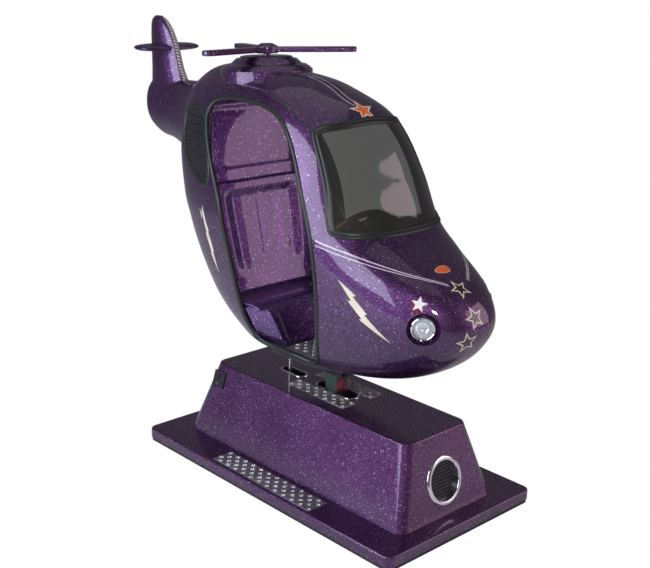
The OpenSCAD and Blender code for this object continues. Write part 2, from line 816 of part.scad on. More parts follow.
module crank_roller() {
    color(steel)
        translate([0, crank_pin_y, shaft_z])
            difference() {
                along_x(-11, 11, roller_r);
                along_x(-12, 12, crank_pin_r + running_gap);
            }
}

// ---- Rocker ----

module rocker_shaft() {
    color(chrome) translate([0, shaft_y, shaft_z]) along_x(-pillow_x - 20, pillow_x + 20, shaft_r);
}

module rocker_beam() {
    color(black)
        difference() {
            translate([-beam_w / 2, -front_post_at - 35, shaft_z - beam_h / 2])
                cube([beam_w, rear_post_y + 25 + front_post_at + 35, beam_h]);
            translate([-beam_w / 2 + 4, -front_post_at - 40, shaft_z - beam_h / 2 + 4])
                cube([beam_w - 8, rear_post_y + front_post_at + 80, beam_h - 8]);
            translate([0, shaft_y, shaft_z]) along_x(-beam_w, beam_w, shaft_r);
            translate([-arm_t / 2, rear_post_y - 40, shaft_z - beam_h]) cube([arm_t, 100, 2 * beam_h]);
        }
}

module drive_arm() {
    color(steel)
        difference() {
            side_profile(-arm_t / 2, arm_t / 2)
                difference() {
                    polygon([
                        [rear_post_y - 38, shaft_z - beam_h / 2], [rear_post_y + 18, shaft_z - beam_h / 2],
                        [crank_y, shaft_z - arm_h / 2],
                        [crank_pin_y + slot_half_l + 16, shaft_z - arm_h / 2],
                        [crank_pin_y + slot_half_l + 16, shaft_z + arm_h / 2],
                        [crank_y, shaft_z + arm_h / 2], [rear_post_y + 18, shaft_z + beam_h / 2],
                        [rear_post_y - 38, shaft_z + beam_h / 2]
                    ]);
                    translate([crank_pin_y, shaft_z])
                        square([2 * (slot_half_l - slot_half_h), 2 * slot_half_h], center = true);
                    for (s = [-1, 1])
                        translate([crank_pin_y + s * (slot_half_l - slot_half_h), shaft_z]) circle(slot_half_h);
                }
        }
}

module front_post() {
    color(plum)
        translate([-front_post_s / 2, -front_post_at - front_post_s / 2, shaft_z + beam_h / 2])
            difference() {
                cube([front_post_s, front_post_s, post_top - 6 - shaft_z - beam_h / 2]);
                translate([3, 3, -1]) cube([front_post_s - 6, front_post_s - 6, post_top]);
            }
}

module post_gusset() {
    color([0.18, 0.24, 0.22])
        side_profile(-4, 4)
            polygon([
                [-front_post_at + front_post_s / 2, shaft_z + beam_h / 2],
                [-front_post_at + front_post_s / 2, post_top - 22],
                [-front_post_at + front_post_s / 2 + 22, post_top - 34],
                [-front_post_at + front_post_s / 2 + 66, post_top - 14],
                [-front_post_at + front_post_s / 2 + 66, ped_top + 14],
                [-front_post_at + front_post_s / 2 + 40, shaft_z + beam_h / 2]
            ]);
}

module rear_post() {
    color(steel)
        translate([0, rear_post_y, 0]) {
            translate([0, 0, shaft_z + beam_h / 2]) cylinder(h = cabin_z - 18 - shaft_z - beam_h / 2, r = rear_post_r);
            translate([0, 0, cabin_z - 18]) cylinder(h = 6, r = rear_post_r + 18);
        }
}

module belly_plate() {
    color(black)
        translate([0, -front_post_at + 22, post_top - 6])
            difference() {
                translate([-52, -70, 0]) cube([104, 140, 6]);
                for (x = [-42, 42], y = [-56, 56])
                    translate([x, y, -1]) cylinder(h = 8, r = 4.2);
            }
}

module belly_boss() {
    color(purple)
        hull() {
            translate([0, -front_post_at + 22, post_top]) slab(112, 150, eps, 10, $fn = 32);
            translate([0, -front_post_at + 22, cabin_z - 12 - eps]) slab(150, 210, eps, 16, $fn = 32);
        }
}

module belly_pan() {
    s = section(0, 0);
    color(black)
        translate([0, 0, cabin_z - 12])
            linear_extrude(12)
                polygon([for (p = ring_points([s[0], s[1] - 8, s[2] + 22, s[3] + 8, s[4], s[5]])) [p[0], p[1]]]);
}

// ---- Cabin ----

module cabin_shell() {
    color(purple)
        difference() {
            cabin_block(0);
            cabin_block(cabin_wall);
            side_profile(-2 * cabin_half_w, 2 * cabin_half_w) polygon(door_loop);
            side_profile(-2 * cabin_half_w, 2 * cabin_half_w) polygon(vent_loop);
            rotate([90, 0, 0]) linear_extrude(nose_reach) polygon(screen_loop);
            both_sides() at_lamp() translate([0, 0, -60]) cylinder(h = 120, r = lamp_recess_r + 0.3);
        }
}

trim_outline = ellipse(trim_r, trim_r, 2, 8);
module door_trim(side) color(black) skin_band(door_loop, side, cabin_wall / 2, trim_outline);
module door_trim_right() door_trim(-1);
module door_trim_left() door_trim(1);

module side_vents() {
    color([0.14, 0.13, 0.14])
        for (side = [-1, 1])
            skin_sheet(shrunk(vent_loop, -2), side, 1, 4, 3);
}

module vent_trims() {
    color(black)
        for (side = [-1, 1])
            skin_band(vent_loop, side, cabin_wall / 2, ellipse(trim_r - 1, trim_r - 1, 2, 8));
}

module windscreen_gasket() {
    color(black) skin_band(screen_loop, 0, cabin_wall / 2, ellipse(15, gasket_t, 3, 10));
}

module windscreen() {
    color([0.3, 0.32, 0.32, 0.5]) skin_sheet(shrunk(screen_loop, -10), 0, cabin_wall / 2 - 2, cabin_wall / 2 + 2, 4);
}

module cabin_floor() {
    color([0.3, 0.22, 0.15])
        intersection() {
            translate([-cabin_half_w, cy(-330), cabin_z]) cube([2 * cabin_half_w, cy(300) - cy(-330), floor_rise]);
            cabin_block(cabin_wall + 0.5);
        }
}

module cabin_mat() {
    color(steel)
        intersection() {
            translate([-cabin_half_w, cy(-300), floor_z]) cube([2 * cabin_half_w, cy(58) - cy(-300), chequer_t]);
            cabin_block(cabin_wall + 8);
        }
}

function turned(p, q) = let (t = unit(q - p)) [t[1], -t[0]];
module seat() {
    line = [for (p = seat_line) [cy(p[0]), cz(p[1])]];
    fine = concat(
        [for (i = [0:len(line) - 2], u = [0, 0.5])
            spline(line[max(i - 1, 0)], line[i], line[i + 1], line[min(i + 2, len(line) - 1)], u)],
        [line[len(line) - 1]]
    );
    back = [for (i = [0:len(fine) - 1])
        fine[i] + seat_t * turned(fine[max(i - 1, 0)], fine[min(i + 1, len(fine) - 1)])];
    color(purple)
        intersection() {
            side_profile(-cabin_half_w, cabin_half_w)
                polygon(concat(fine, [for (i = [len(back) - 1:-1:0]) back[i]]));
            cabin_block(inside_trim);
            translate([-cabin_half_w, -1000, floor_z + 0.3]) cube([2 * cabin_half_w, 3000, 2000]);
        }
}

module dashboard() {
    color([0.1, 0.09, 0.11])
        difference() {
            intersection() {
                side_profile(-cabin_half_w, cabin_half_w)
                    polygon([
                        [cy(-300), cz(932)], [cy(-205), cz(945)], dash_top, dash_foot,
                        [cy(-175), cz(790)], [cy(-187), cz(792)], [cy(-164), cz(850)], [cy(-183), cz(928)],
                        [cy(-208), cz(934)], [cy(-298), cz(921)]
                    ]);
                cabin_block(inside_gasket);
            }
            at_dash() {
                for (s = [-1, 1])
                    translate([s * push_spread, 0, -40]) cylinder(h = 80, r = push_r + 0.3);
            }
            at_wheel() translate([0, 0, -2 * column_l]) cylinder(h = 2 * column_l, r = column_r);
        }
}

module binnacle() {
    color(black)
        translate([0, cy(-232), cz(936)])
            difference() {
                rotate([-90, 0, 0]) cylinder(h = 60, r = 46);
                translate([-100, -10, -100]) cube([200, 100, 106 + 4]);
                rotate([-90, 0, 0]) translate([0, 0, 50]) cylinder(h = 20, r = 38);
            }
}

module steering_column() {
    color(steel)
        at_wheel()
            translate([0, 0, -column_l]) {
                cylinder(h = column_l - 12, r = column_r);
                cylinder(h = column_l + 4, r = spigot_r);
            }
}

module steering_wheel() {
    color([0.85, 0.6, 0.1])
        at_wheel() {
            rotate_extrude($fn = 64) translate([wheel_r, 0]) circle(wheel_rim_r);
            difference() {
                translate([0, 0, -11.5]) cylinder(h = 23, r = 24);
                translate([0, 0, 8]) cylinder(h = 6, r = 16);
                translate([0, 0, -20]) cylinder(h = 25, r = spigot_r + running_gap);
            }
            for (a = [90, 210, 330])
                rotate(a) translate([20, -9, -5]) cube([wheel_r - 24, 18, 10]);
        }
}

module push_button(s) {
    color(s < 0 ? [0.7, 0.1, 0.1] : [0.1, 0.5, 0.15])
        at_dash()
            translate([s * push_spread, 0, -14])
                cylinder(h = 14 + push_travel + 5, r = push_r);
}
module push_button_right() push_button(-1);
module push_button_left() push_button(1);

// ---- Headlights ----

pod_depth = 46;
module headlight_pods() {
    color(purple)
        both_sides()
            at_lamp()
                difference() {
                    translate([0, 0, -pod_depth]) cylinder(h = pod_depth - 14, r = lamp_recess_r);
                    translate([0, 0, -22]) cylinder(h = 60, r1 = lamp_r + 3, r2 = lamp_recess_r + 30);
                    translate([0, 0, -pod_depth - 1]) cylinder(h = pod_depth, r = lamp_r - 5);
                }
}

module headlight_bowls() {
    color(chrome)
        both_sides()
            at_lamp()
                translate([0, 0, -pod_depth + 2])
                    difference() {
                        cylinder(h = 24, r = lamp_r - 5.5);
                        translate([0, 0, 2]) cylinder(h = 30, r1 = 10, r2 = lamp_r - 7);
                    }
}

module headlight_rings() {
    color(chrome)
        both_sides()
            at_lamp()
                translate([0, 0, -20])
                    difference() {
                        cylinder(h = 14, r1 = lamp_r, r2 = lamp_r - 3);
                        translate([0, 0, -1]) cylinder(h = 30, r = lamp_r - 7);
                    }
}

module headlight_lenses() {
    color([0.8, 0.85, 0.9, 0.5])
        both_sides()
            at_lamp()
                translate([0, 0, -18])
                    intersection() {
                        cylinder(h = 30, r = lamp_r - 7.3);
                        translate([0, 0, 12 - 60]) sphere(60, $fn = 64);
                    }
}

// ---- Tail and rotor ----

module boom_block(inset = 0, past = 0) {
    rows = spread(boom_rows, 0.5);
    loft([for (i = [0:len(rows) - 1])
        let (r = rows[i])
        [for (p = ellipse(cx(r[3]) - inset, (cz(r[2]) - cz(r[1])) / 2 - inset, 2.3, 28))
            [-p[0], cy(r[0]) - (i == 0 ? past : inset), (cz(r[1]) + cz(r[2])) / 2 + p[1]]]]);
}

module tail_boom() {
    color(purple)
        difference() {
            boom_block();
            boom_block(cabin_wall, 10);
            cabin_block(0);
        }
}

module tail_fin() {
    wing_z = fin_z(1403);
    color(purple)
        difference() {
            union() {
                loft([for (r = spread(fin_rows, 0.5))
                    [for (p = ellipse(cx(r[3]), (cy(r[2]) - cy(r[1])) / 2, 2, 24))
                        [p[0], (cy(r[1]) + cy(r[2])) / 2 + p[1], fin_z(r[0])]]]);
                loft([for (i = [-6:6])
                    let (k = sqrt(max(0.02, 1 - pow(i / 6, 2))), x = stabiliser_half * sin(i * 15))
                    [for (p = ellipse(cy(1016) - cy(956), 15, 2, 16))
                        [x, cy(960) + p[0] * (0.05 + 0.95 * k), wing_z + p[1] * k]]]);
            }
            boom_block();
            cabin_block(0);
        }
}

module mast_fairing() {
    color(purple)
        difference() {
            translate([0, rotor_y, roof_z - 22]) rotate([-mast_lean, 0, 0]) {
                cylinder(h = 20, r1 = fairing_r + 12, r2 = fairing_r - 12);
                cylinder(h = 22 + fairing_t - 8, r1 = fairing_r - 4, r2 = fairing_top_r);
                cylinder(h = 22 + fairing_t, r = fairing_top_r - 14);
            }
            cabin_block(0);
            at_rotor() translate([0, 0, -hub_z]) cylinder(h = hub_z, r = mast_r + running_gap);
        }
}

module rotor() {
    color(purple)
        at_rotor() {
            translate([0, 0, -hub_t / 2]) cylinder(h = hub_t, r = hub_r);
            translate([0, 0, hub_t / 2]) cylinder(h = 8, r1 = hub_r - 6, r2 = hub_r - 18);
            translate([0, 0, -hub_t / 2 - 24]) cylinder(h = 24, r = mast_r);
            for (a = [-51, 69, 189])
                rotate(a)
                    translate([hub_r - 12, 0, -blade_t / 2]) {
                        linear_extrude(blade_t)
                            translate([(blade_l - hub_r + 12) / 2 - blade_w / 4, 0])
                                square([blade_l - hub_r + 12 - blade_w / 2, blade_w], center = true);
                        translate([blade_l - hub_r + 12 - blade_w / 2, 0, 0]) cylinder(h = blade_t, r = blade_w / 2);
                    }
        }
}

base_board();
floor_plate();
pedestal_shell();
step_plates();
top_plates();
slot_ring_front();
slot_ring_rear();
port_ring();
speaker_grille();
loudspeaker();
coin_plate();
coin_mechanism();
coin_return_button();
cash_box();
base_frame();
pillow_blocks();
gear_motor();
control_box();
transformer();
cable_gland();
service_hinge();
service_hinge_pin();
service_door();
service_lock();
crank_disc();
crank_pin();
crank_roller();
rocker_shaft();
rocker_beam();
drive_arm();
front_post();
post_gusset();
rear_post();
belly_plate();
belly_boss();
belly_pan();
cabin_shell();
door_trim_right();
door_trim_left();
side_vents();
vent_trims();
windscreen_gasket();
windscreen();
cabin_floor();
cabin_mat();
seat();
dashboard();
binnacle();
steering_column();
steering_wheel();
push_button_right();
push_button_left();
headlight_pods();
headlight_bowls();
headlight_rings();
headlight_lenses();
tail_boom();
tail_fin();
mast_fairing();
rotor();
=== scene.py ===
# %% [markdown]
# # A coin-operated helicopter ride
# A glass-fibre cabin covered in metal-flake gelcoat rocks on a tapered pedestal. The packed
# model gives the places of every part; this lesson gives the parts their real looks, mostly by
# taking a primitive, placing its points, and finishing it with modifiers.

# %% Load the frame
import json
import math

import bmesh
import bpy
from mathutils import Matrix, Vector
from mathutils.bvhtree import BVHTree


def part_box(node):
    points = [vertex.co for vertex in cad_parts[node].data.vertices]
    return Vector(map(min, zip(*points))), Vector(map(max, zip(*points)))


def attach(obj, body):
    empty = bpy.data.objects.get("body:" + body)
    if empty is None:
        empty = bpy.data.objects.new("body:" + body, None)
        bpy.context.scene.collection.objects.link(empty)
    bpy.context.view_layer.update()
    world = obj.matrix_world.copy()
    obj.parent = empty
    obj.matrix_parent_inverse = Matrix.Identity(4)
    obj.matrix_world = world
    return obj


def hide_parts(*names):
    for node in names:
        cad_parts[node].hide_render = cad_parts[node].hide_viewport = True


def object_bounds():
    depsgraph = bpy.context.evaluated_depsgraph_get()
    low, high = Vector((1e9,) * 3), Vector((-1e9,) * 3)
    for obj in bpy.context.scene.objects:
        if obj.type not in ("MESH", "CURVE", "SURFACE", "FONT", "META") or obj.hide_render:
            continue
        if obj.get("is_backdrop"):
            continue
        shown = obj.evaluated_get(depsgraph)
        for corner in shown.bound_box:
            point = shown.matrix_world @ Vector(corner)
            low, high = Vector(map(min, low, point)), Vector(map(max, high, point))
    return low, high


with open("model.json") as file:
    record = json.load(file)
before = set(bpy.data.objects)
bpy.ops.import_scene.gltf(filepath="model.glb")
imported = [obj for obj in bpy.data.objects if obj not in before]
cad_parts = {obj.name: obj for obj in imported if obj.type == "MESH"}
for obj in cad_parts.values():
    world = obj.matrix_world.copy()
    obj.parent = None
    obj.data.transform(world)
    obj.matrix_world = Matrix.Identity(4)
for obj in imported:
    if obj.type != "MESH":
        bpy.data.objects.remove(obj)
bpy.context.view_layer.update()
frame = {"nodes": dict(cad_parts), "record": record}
nodes = frame["nodes"]

# %% [markdown]
# ## Camera
# A standing adult looks down on the machine's nose from its right-hand side. The lens is a short
# telephoto, so the upright edges lean together only a little.

# %% Camera
azimuth, elevation, roll = (math.radians(v) for v in (-43.88, 17.04, 1.66))
back = Vector((math.sin(azimuth) * math.cos(elevation), -math.cos(azimuth) * math.cos(elevation),
               math.sin(elevation)))
level = Vector((0, 0, 1)).cross(back).normalized()
rise = back.cross(level)
right = level * math.cos(roll) + rise * math.sin(roll)
up = rise * math.cos(roll) - level * math.sin(roll)
bpy.ops.object.camera_add(location=(-2.512, -2.559, 1.787))
camera = bpy.context.object
camera.name = "viewpoint"
camera.rotation_euler = Matrix((right, up, back)).transposed().to_euler()
camera.data.lens = 61.1
camera.data.sensor_width = 36
camera.data.clip_end = 60
bpy.context.scene.camera = camera

# %% [markdown]
# ## The cabin as numbers
# The cabin is a stack of level rings. Each ring is a squared-off oval with its own reach to the
# nose and to the back, its own half width and its own squareness, and a smooth curve runs through
# the rings. Everything that lies on the skin, from the door rubbers to the stars, asks these
# functions where the skin is, so it all fits.

# %% Cabin numbers
CABIN_Z, CABIN_H, WALL = 0.452, 0.943, 0.005
MIDDLE_Y = 0.12
RINGS = (
    (0.452, -0.200, 0.190, 0.150, 2.5, 3.0), (0.475, -0.375, 0.290, 0.195, 2.5, 3.0),
    (0.530, -0.505, 0.370, 0.225, 2.5, 3.0), (0.610, -0.595, 0.460, 0.250, 2.5, 3.0),
    (0.700, -0.632, 0.530, 0.265, 2.5, 3.0), (0.790, -0.580, 0.585, 0.275, 2.5, 3.0),
    (0.870, -0.435, 0.620, 0.283, 2.8, 3.0), (0.940, -0.320, 0.650, 0.285, 3.2, 3.0),
    (1.080, -0.235, 0.685, 0.275, 3.2, 3.0), (1.200, -0.170, 0.700, 0.245, 3.0, 3.0),
    (1.285, -0.100, 0.685, 0.205, 2.7, 3.0), (1.350, 0.020, 0.630, 0.150, 2.4, 2.6),
    (1.380, 0.120, 0.560, 0.095, 2.2, 2.3), (1.395, 0.250, 0.460, 0.040, 2.0, 2.0),
)
LAST = len(RINGS) - 1


def smooth(p, q, r, s, u):
    """A smooth curve from q to r, with p before it and s after it."""
    return 0.5 * (2 * q + (r - p) * u + (2 * p - 5 * q + 4 * r - s) * u * u
                  + (3 * q - p - 3 * r + s) * u ** 3)


def along(rows, t):
    """The row at place t along a table of rows."""
    i = max(0, min(int(t), len(rows) - 2))
    near = [rows[max(0, min(len(rows) - 1, i + k))] for k in (-1, 0, 1, 2)]
    return [smooth(*values, t - i) for values in zip(*near)]


def ring(t, inset=0.0):
    """One level of the cabin: height, nose, back, half width and squareness ahead and behind."""
    z, nose, tail, half, sharp_nose, sharp_tail = along(RINGS, t)
    z = CABIN_Z + inset + (z - CABIN_Z) / CABIN_H * (CABIN_H - 2 * inset)
    return z, nose + inset, tail - inset, half - inset, sharp_nose, sharp_tail


def ring_at(z, inset=0.0):
    low, high = 0.0, float(LAST)
    for _ in range(18):
        t = (low + high) / 2
        low, high = (t, high) if ring(t, inset)[0] < z else (low, t)
    return ring(t, inset)


def ring_middle(r):
    margin = 0.3 * (r[2] - r[1])
    return min(max(MIDDLE_Y, r[1] + margin), r[2] - margin)


def rounded(u, n):
    return max(0.0, 1 - min(abs(u), 1.0) ** n) ** (1 / n)


def side_point(y, z, side, inset=0.0):
    """The point of the cabin's side at (y, z)."""
    r = ring_at(z, inset)
    m = ring_middle(r)
    half = r[3] * (rounded((m - y) / (m - r[1]), r[4]) if y < m else rounded((y - m) / (r[2] - m), r[5]))
    return Vector((side * half, y, z))


def front_point(x, z, inset=0.0):
    """The point of the cabin's front at (x, z)."""
    r = ring_at(z, inset)
    m = ring_middle(r)
    return Vector((x, m - (m - r[1]) * rounded(x / r[3], r[4]), z))


# The roof is let in a little inside a shoulder line, which the light picks out.
SHOULDER = ((0.60, 0.10), (0.45, 0.155), (0.19, 0.173), (0.11, 0.183), (0.04, 0.188), (-0.04, 0.201), (-0.10, 0.215))


def ease(u):
    u = max(0.0, min(1.0, u))
    return u * u * (3 - 2 * u)


def shoulder_drop(x, y, z):
    """How far the roof is let in at a place."""
    if z < 1.12 or y < -0.14 or y > 0.60:
        return 0.0
    for (y1, x1), (y0, x0) in zip(SHOULDER, SHOULDER[1:]):
        if y0 <= y <= y1:
            break
    edge = x0 + (x1 - x0) * (y - y0) / (y1 - y0)
    depth = 0.011 * ease((y + 0.13) / 0.2) * ease((0.60 - y) / 0.2)
    return depth * ease((edge - abs(x)) / 0.016)


def cabin_point(turn, t, inset=0.0):
    """The cabin's skin at a turn (0 to 1, anticlockwise from above) and a level."""
    r = ring(t, inset)
    m = ring_middle(r)
    c, s = math.cos(2 * math.pi * turn), math.sin(2 * math.pi * turn)
    n = r[4] if s < 0 else r[5]
    x = r[3] * math.copysign(abs(c) ** (2 / n), c)
    y = m + (m - r[1] if s < 0 else r[2] - m) * math.copysign(abs(s) ** (2 / n), s)
    return Vector((x, y, r[0] - shoulder_drop(x, y, r[0])))


print("widest ring:", [round(v, 3) for v in ring(7)])

# %% [markdown]
# ## Helpers for shaping
# A primitive keeps its own tidy faces while its points are moved, so it makes a clean start for
# any closed form: a ball becomes a cabin, a ring becomes a rubber seal, a grid becomes a panel.
# Three helpers do that, and the rest are the everyday moves: select, finish, cut, spin.

# %% Helpers


def alone(piece):
    """Selects one piece and nothing else."""
    if bpy.context.object and bpy.context.object.mode != "OBJECT":
        bpy.ops.object.mode_set(mode="OBJECT")
    bpy.ops.object.select_all(action="DESELECT")
    piece.select_set(True)
    bpy.context.view_layer.objects.active = piece
    return piece


def named(name):
    piece = bpy.context.object
    piece.name = piece.data.name = name
    return piece


def edit_all(piece):
    """Opens one piece in edit mode with everything selected."""
    alone(piece)
    bpy.ops.object.mode_set(mode="EDIT")
    bpy.ops.mesh.select_all(action="SELECT")
    return piece


def settle(piece):
    """Puts a piece's place into its mesh."""
    alone(piece)
    bpy.ops.object.transform_apply(location=True, rotation=True, scale=True)
    return piece


def outwards(piece, merge=1e-6):
    edit_all(piece)
    if merge:
        bpy.ops.mesh.remove_doubles(threshold=merge)
    bpy.ops.mesh.normals_make_consistent(inside=False)
    bpy.ops.object.mode_set(mode="OBJECT")
    return piece


def modify(piece, kind, **settings):
    """Adds a modifier and applies it."""
    alone(piece)
    modifier = piece.modifiers.new(kind, kind)
    for key, value in settings.items():
        setattr(modifier, key, value)
    bpy.ops.object.modifier_apply(modifier=modifier.name)
    return piece


def soften(piece, angle=35):
    alone(piece)
    bpy.ops.object.shade_smooth_by_angle(angle=math.radians(angle))
    return piece


def cut(piece, tool, keep=False):
    modify(piece, "BOOLEAN", object=tool, operation="DIFFERENCE", solver="EXACT")
    if not keep:
        bpy.data.objects.remove(tool, do_unlink=True)
    return piece


def join(pieces, name):
    alone(pieces[0])
    for p in pieces:
        p.select_set(True)
    bpy.ops.object.join()
    return named(name)


def ball(name, segments, rings, place):
    """A ball whose points go to place(turn, height), both from 0 to 1."""
    bpy.ops.mesh.primitive_uv_sphere_add(segments=segments, ring_count=rings, radius=1)
    piece = named(name)
    for v in piece.data.vertices:
        turn = (math.atan2(v.co.y, v.co.x) / (2 * math.pi)) % 1.0
        height = 0.5 + math.asin(max(-1, min(1, v.co.z))) / math.pi
        v.co = place(round(turn * segments) / segments, round(height * rings) / rings)
    return outwards(piece, 0)


def hoop(name, long, short, place):
    """A ring whose points go to place(turn, roll), both from 0 to 1."""
    bpy.ops.mesh.primitive_torus_add(major_segments=long, minor_segments=short, major_radius=1, minor_radius=0.2)
    piece = named(name)
    for v in piece.data.vertices:
        turn = (math.atan2(v.co.y, v.co.x) / (2 * math.pi)) % 1.0
        roll_ = (math.atan2(v.co.z, math.hypot(v.co.x, v.co.y) - 1) / (2 * math.pi)) % 1.0
        v.co = place(round(turn * long) / long, round(roll_ * short) / short)
    return outwards(piece, 0)


def sheet(name, across, along_, place, thick, offset=-1):
    """A grid whose points go to place(u, v), given a thickness."""
    bpy.ops.mesh.primitive_grid_add(x_subdivisions=across, y_subdivisions=along_, size=1)
    piece = named(name)
    for v in piece.data.vertices:
        v.co = place(round((v.co.x + 0.5) * across) / across, round((v.co.y + 0.5) * along_) / along_)
    modify(piece, "SOLIDIFY", thickness=thick, offset=offset)
    return outwards(piece, 0)


def turned(name, profile, where, segments=64):
    """A shape turned on a lathe from (radius, height) points, then put at a matrix."""
    bpy.ops.mesh.primitive_plane_add(size=1)
    piece = named(name)
    mesh = bmesh.new()
    points = [mesh.verts.new((r, 0, h)) for r, h in profile]
    for a, b in zip(points, points[1:]):
        mesh.edges.new((a, b))
    if profile[0][0] > 0 and profile[-1][0] > 0:
        mesh.edges.new((points[-1], points[0]))
    mesh.to_mesh(piece.data)
    mesh.free()
    edit_all(piece)
    bpy.ops.mesh.spin(steps=segments, angle=2 * math.pi, center=(0, 0, 0), axis=(0, 0, 1))
    bpy.ops.object.mode_set(mode="OBJECT")
    piece.matrix_world = where
    settle(piece)
    return soften(outwards(piece, 1e-5))


def block(name, low, high, bevel=0.0, segments=3):
    """A box between two corners, with rounded edges."""
    bpy.ops.mesh.primitive_cube_add(size=1, location=[(a + b) / 2 for a, b in zip(low, high)])
    piece = named(name)
    piece.scale = [b - a for a, b in zip(low, high)]
    settle(piece)
    if bevel:
        modify(piece, "BEVEL", width=bevel, segments=segments, limit_method="ANGLE")
    return soften(piece)


def filled(name, points):
    """A flat filled outline, open in edit mode."""
    bpy.ops.mesh.primitive_circle_add(vertices=len(points), radius=1, fill_type="NGON")
    piece = named(name)
    for v, p in zip(piece.data.vertices, points):
        v.co = p
    return edit_all(piece)


def prism(name, points, push):
    """A flat outline pushed through by push, to cut with."""
    piece = filled(name, points)
    bpy.ops.mesh.extrude_region_move(TRANSFORM_OT_translate={"value": push})
    bpy.ops.object.mode_set(mode="OBJECT")
    return outwards(piece, 0)


def loop_of(points, count=240):
    """An even closed curve through points: a list of (a, b)."""
    n = len(points)
    dense = []
    for i in range(n):
        for k in range(24):
            near = [points[(i + j) % n] for j in (-1, 0, 1, 2)]
            dense.append(Vector([smooth(*values, k / 24) for values in zip(*near)]))
    lengths = [0.0]
    for p, q in zip(dense, dense[1:] + dense[:1]):
        lengths.append(lengths[-1] + (q - p).length)
    dense.append(dense[0])
    even, i = [], 0
    for k in range(count):
        s = lengths[-1] * k / count
        while lengths[i + 1] < s:
            i += 1
        even.append(dense[i].lerp(dense[i + 1], (s - lengths[i]) / (lengths[i + 1] - lengths[i])))
    return even


def grown(loop, d):
    """The loop moved outwards by d."""
    area = sum(p.x * q.y - q.x * p.y for p, q in zip(loop, loop[1:] + loop[:1]))
    d = d if area > 0 else -d
    n = len(loop)
    out = []
    for i, p in enumerate(loop):
        t = (loop[(i + 1) % n] - loop[i - 1]).normalized()
        out.append(p + Vector((t.y, -t.x)) * d)
    return out


def on_skin(p, side, inset=0.0):
    return front_point(p[0], p[1], inset) if side == 0 else side_point(p[0], p[1], side, inset)


def seal(name, loop, side, profile, inset=0.0025):
    """A rubber strip round an opening. The profile is (across, out) points, across is away from the opening."""
    n = len(loop)
    outer = grown(loop, 0.004)
    frames = []
    for i in range(n):
        p = on_skin(loop[i], side, inset)
        t = on_skin(loop[(i + 1) % n], side, inset) - on_skin(loop[i - 1], side, inset)
        s = (on_skin(outer[i], side, inset) - p).normalized()
        normal = t.cross(s).normalized()
        facing = Vector((0, -1, 0)) if side == 0 else Vector((side, 0, 0))
        frames.append((p, s, normal if normal.dot(facing) > 0 else -normal))
    m = len(profile)

    def place(turn, roll_):
        p, s, normal = frames[round(turn * n) % n]
        a, b = profile[round(roll_ * m) % m]
        return p + s * a + normal * b

    return soften(hoop(name, n, m, place), 50)


def pane(name, loop, side, outer, inner, relief=None, rings=24):
    """A curved panel that fills a loop, with its outer and inner faces at two insets."""
    n = len(loop)
    centre = sum(loop, Vector((0, 0))) / n

    def place(turn, height):
        reach = 1 - abs(2 * height - 1)
        reach = math.sin(reach * math.pi / 2) ** 0.8
        flat = centre.lerp(loop[round(turn * n) % n], reach)
        depth = outer if height > 0.5 else inner if height < 0.5 else (outer + inner) / 2
        return on_skin(flat, side, depth)

    return soften(ball(name, n, rings * 2, place))


DOOR = loop_of([(-0.120, 0.489), (-0.168, 0.640), (-0.173, 0.770), (-0.158, 0.890), (-0.120, 1.000),
                (-0.066, 1.122), (-0.008, 1.208), (0.062, 1.264), (0.150, 1.289), (0.250, 1.296),
                (0.345, 1.292), (0.404, 1.276), (0.425, 1.240), (0.410, 1.195), (0.374, 1.130),
                (0.331, 1.056), (0.292, 0.970), (0.251, 0.828), (0.215, 0.664), (0.194, 0.560),
                (0.160, 0.498), (0.100, 0.482), (0.000, 0.482)], 320)
VENT = loop_of([(0.360, 1.010), (0.352, 1.050), (0.368, 1.105), (0.418, 1.195), (0.440, 1.228),
                (0.490, 1.246), (0.535, 1.243), (0.575, 1.222), (0.578, 1.170), (0.545, 1.105),
                (0.478, 1.046), (0.405, 1.006)], 200)
SCREEN = loop_of([(-0.232, 0.972), (-0.214, 1.090), (-0.196, 1.205), (-0.176, 1.240), (-0.110, 1.253),
                  (0.0, 1.260), (0.110, 1.253), (0.176, 1.240), (0.196, 1.205), (0.214, 1.090),
                  (0.232, 0.972), (0.224, 0.947), (0.150, 0.943), (0.0, 0.941), (-0.150, 0.943),
                  (-0.224, 0.947)], 240)
print("door loop:", len(DOOR), "points")

# %% [markdown]
# ## Finishes
# Metal-flake gelcoat is a dark tinted resin full of small metal squares under a thick clear coat.
# Each flake lies at its own slight tilt, so each catches the light or misses it. A Voronoi cell
# texture gives every flake one random colour; that colour tilts the shading normal and shifts the
# tint, and the clear coat on top keeps its own smooth normal for the sharp reflections. A second,
# larger cell texture picks a sparse few cells and paints the spark colour into their base colour:
# these are painted glints, bright wherever they fall.

# %% Node helpers


def fresh(name):
    material = bpy.data.materials.new(name)
    material.use_nodes = True
    tree = material.node_tree
    return material, tree, tree.nodes["Principled BSDF"]


def node(tree, kind, **settings):
    made = tree.nodes.new("ShaderNode" + kind)
    for key, value in settings.items():
        if key in made.inputs:
            made.inputs[key].default_value = value
        else:
            setattr(made, key, value)
    return made


def link(tree, a, b):
    tree.links.new(a, b)


def noise(tree, scale, detail=3.0, rough=0.55, stretch=(1, 1, 1)):
    coord = node(tree, "TexCoord")
    mapping = node(tree, "Mapping")
    mapping.inputs["Scale"].default_value = stretch
    link(tree, coord.outputs["Object"], mapping.inputs["Vector"])
    made = node(tree, "TexNoise", Scale=scale, Detail=detail, Roughness=rough)
    link(tree, mapping.outputs["Vector"], made.inputs["Vector"])
    return made.outputs["Fac"]


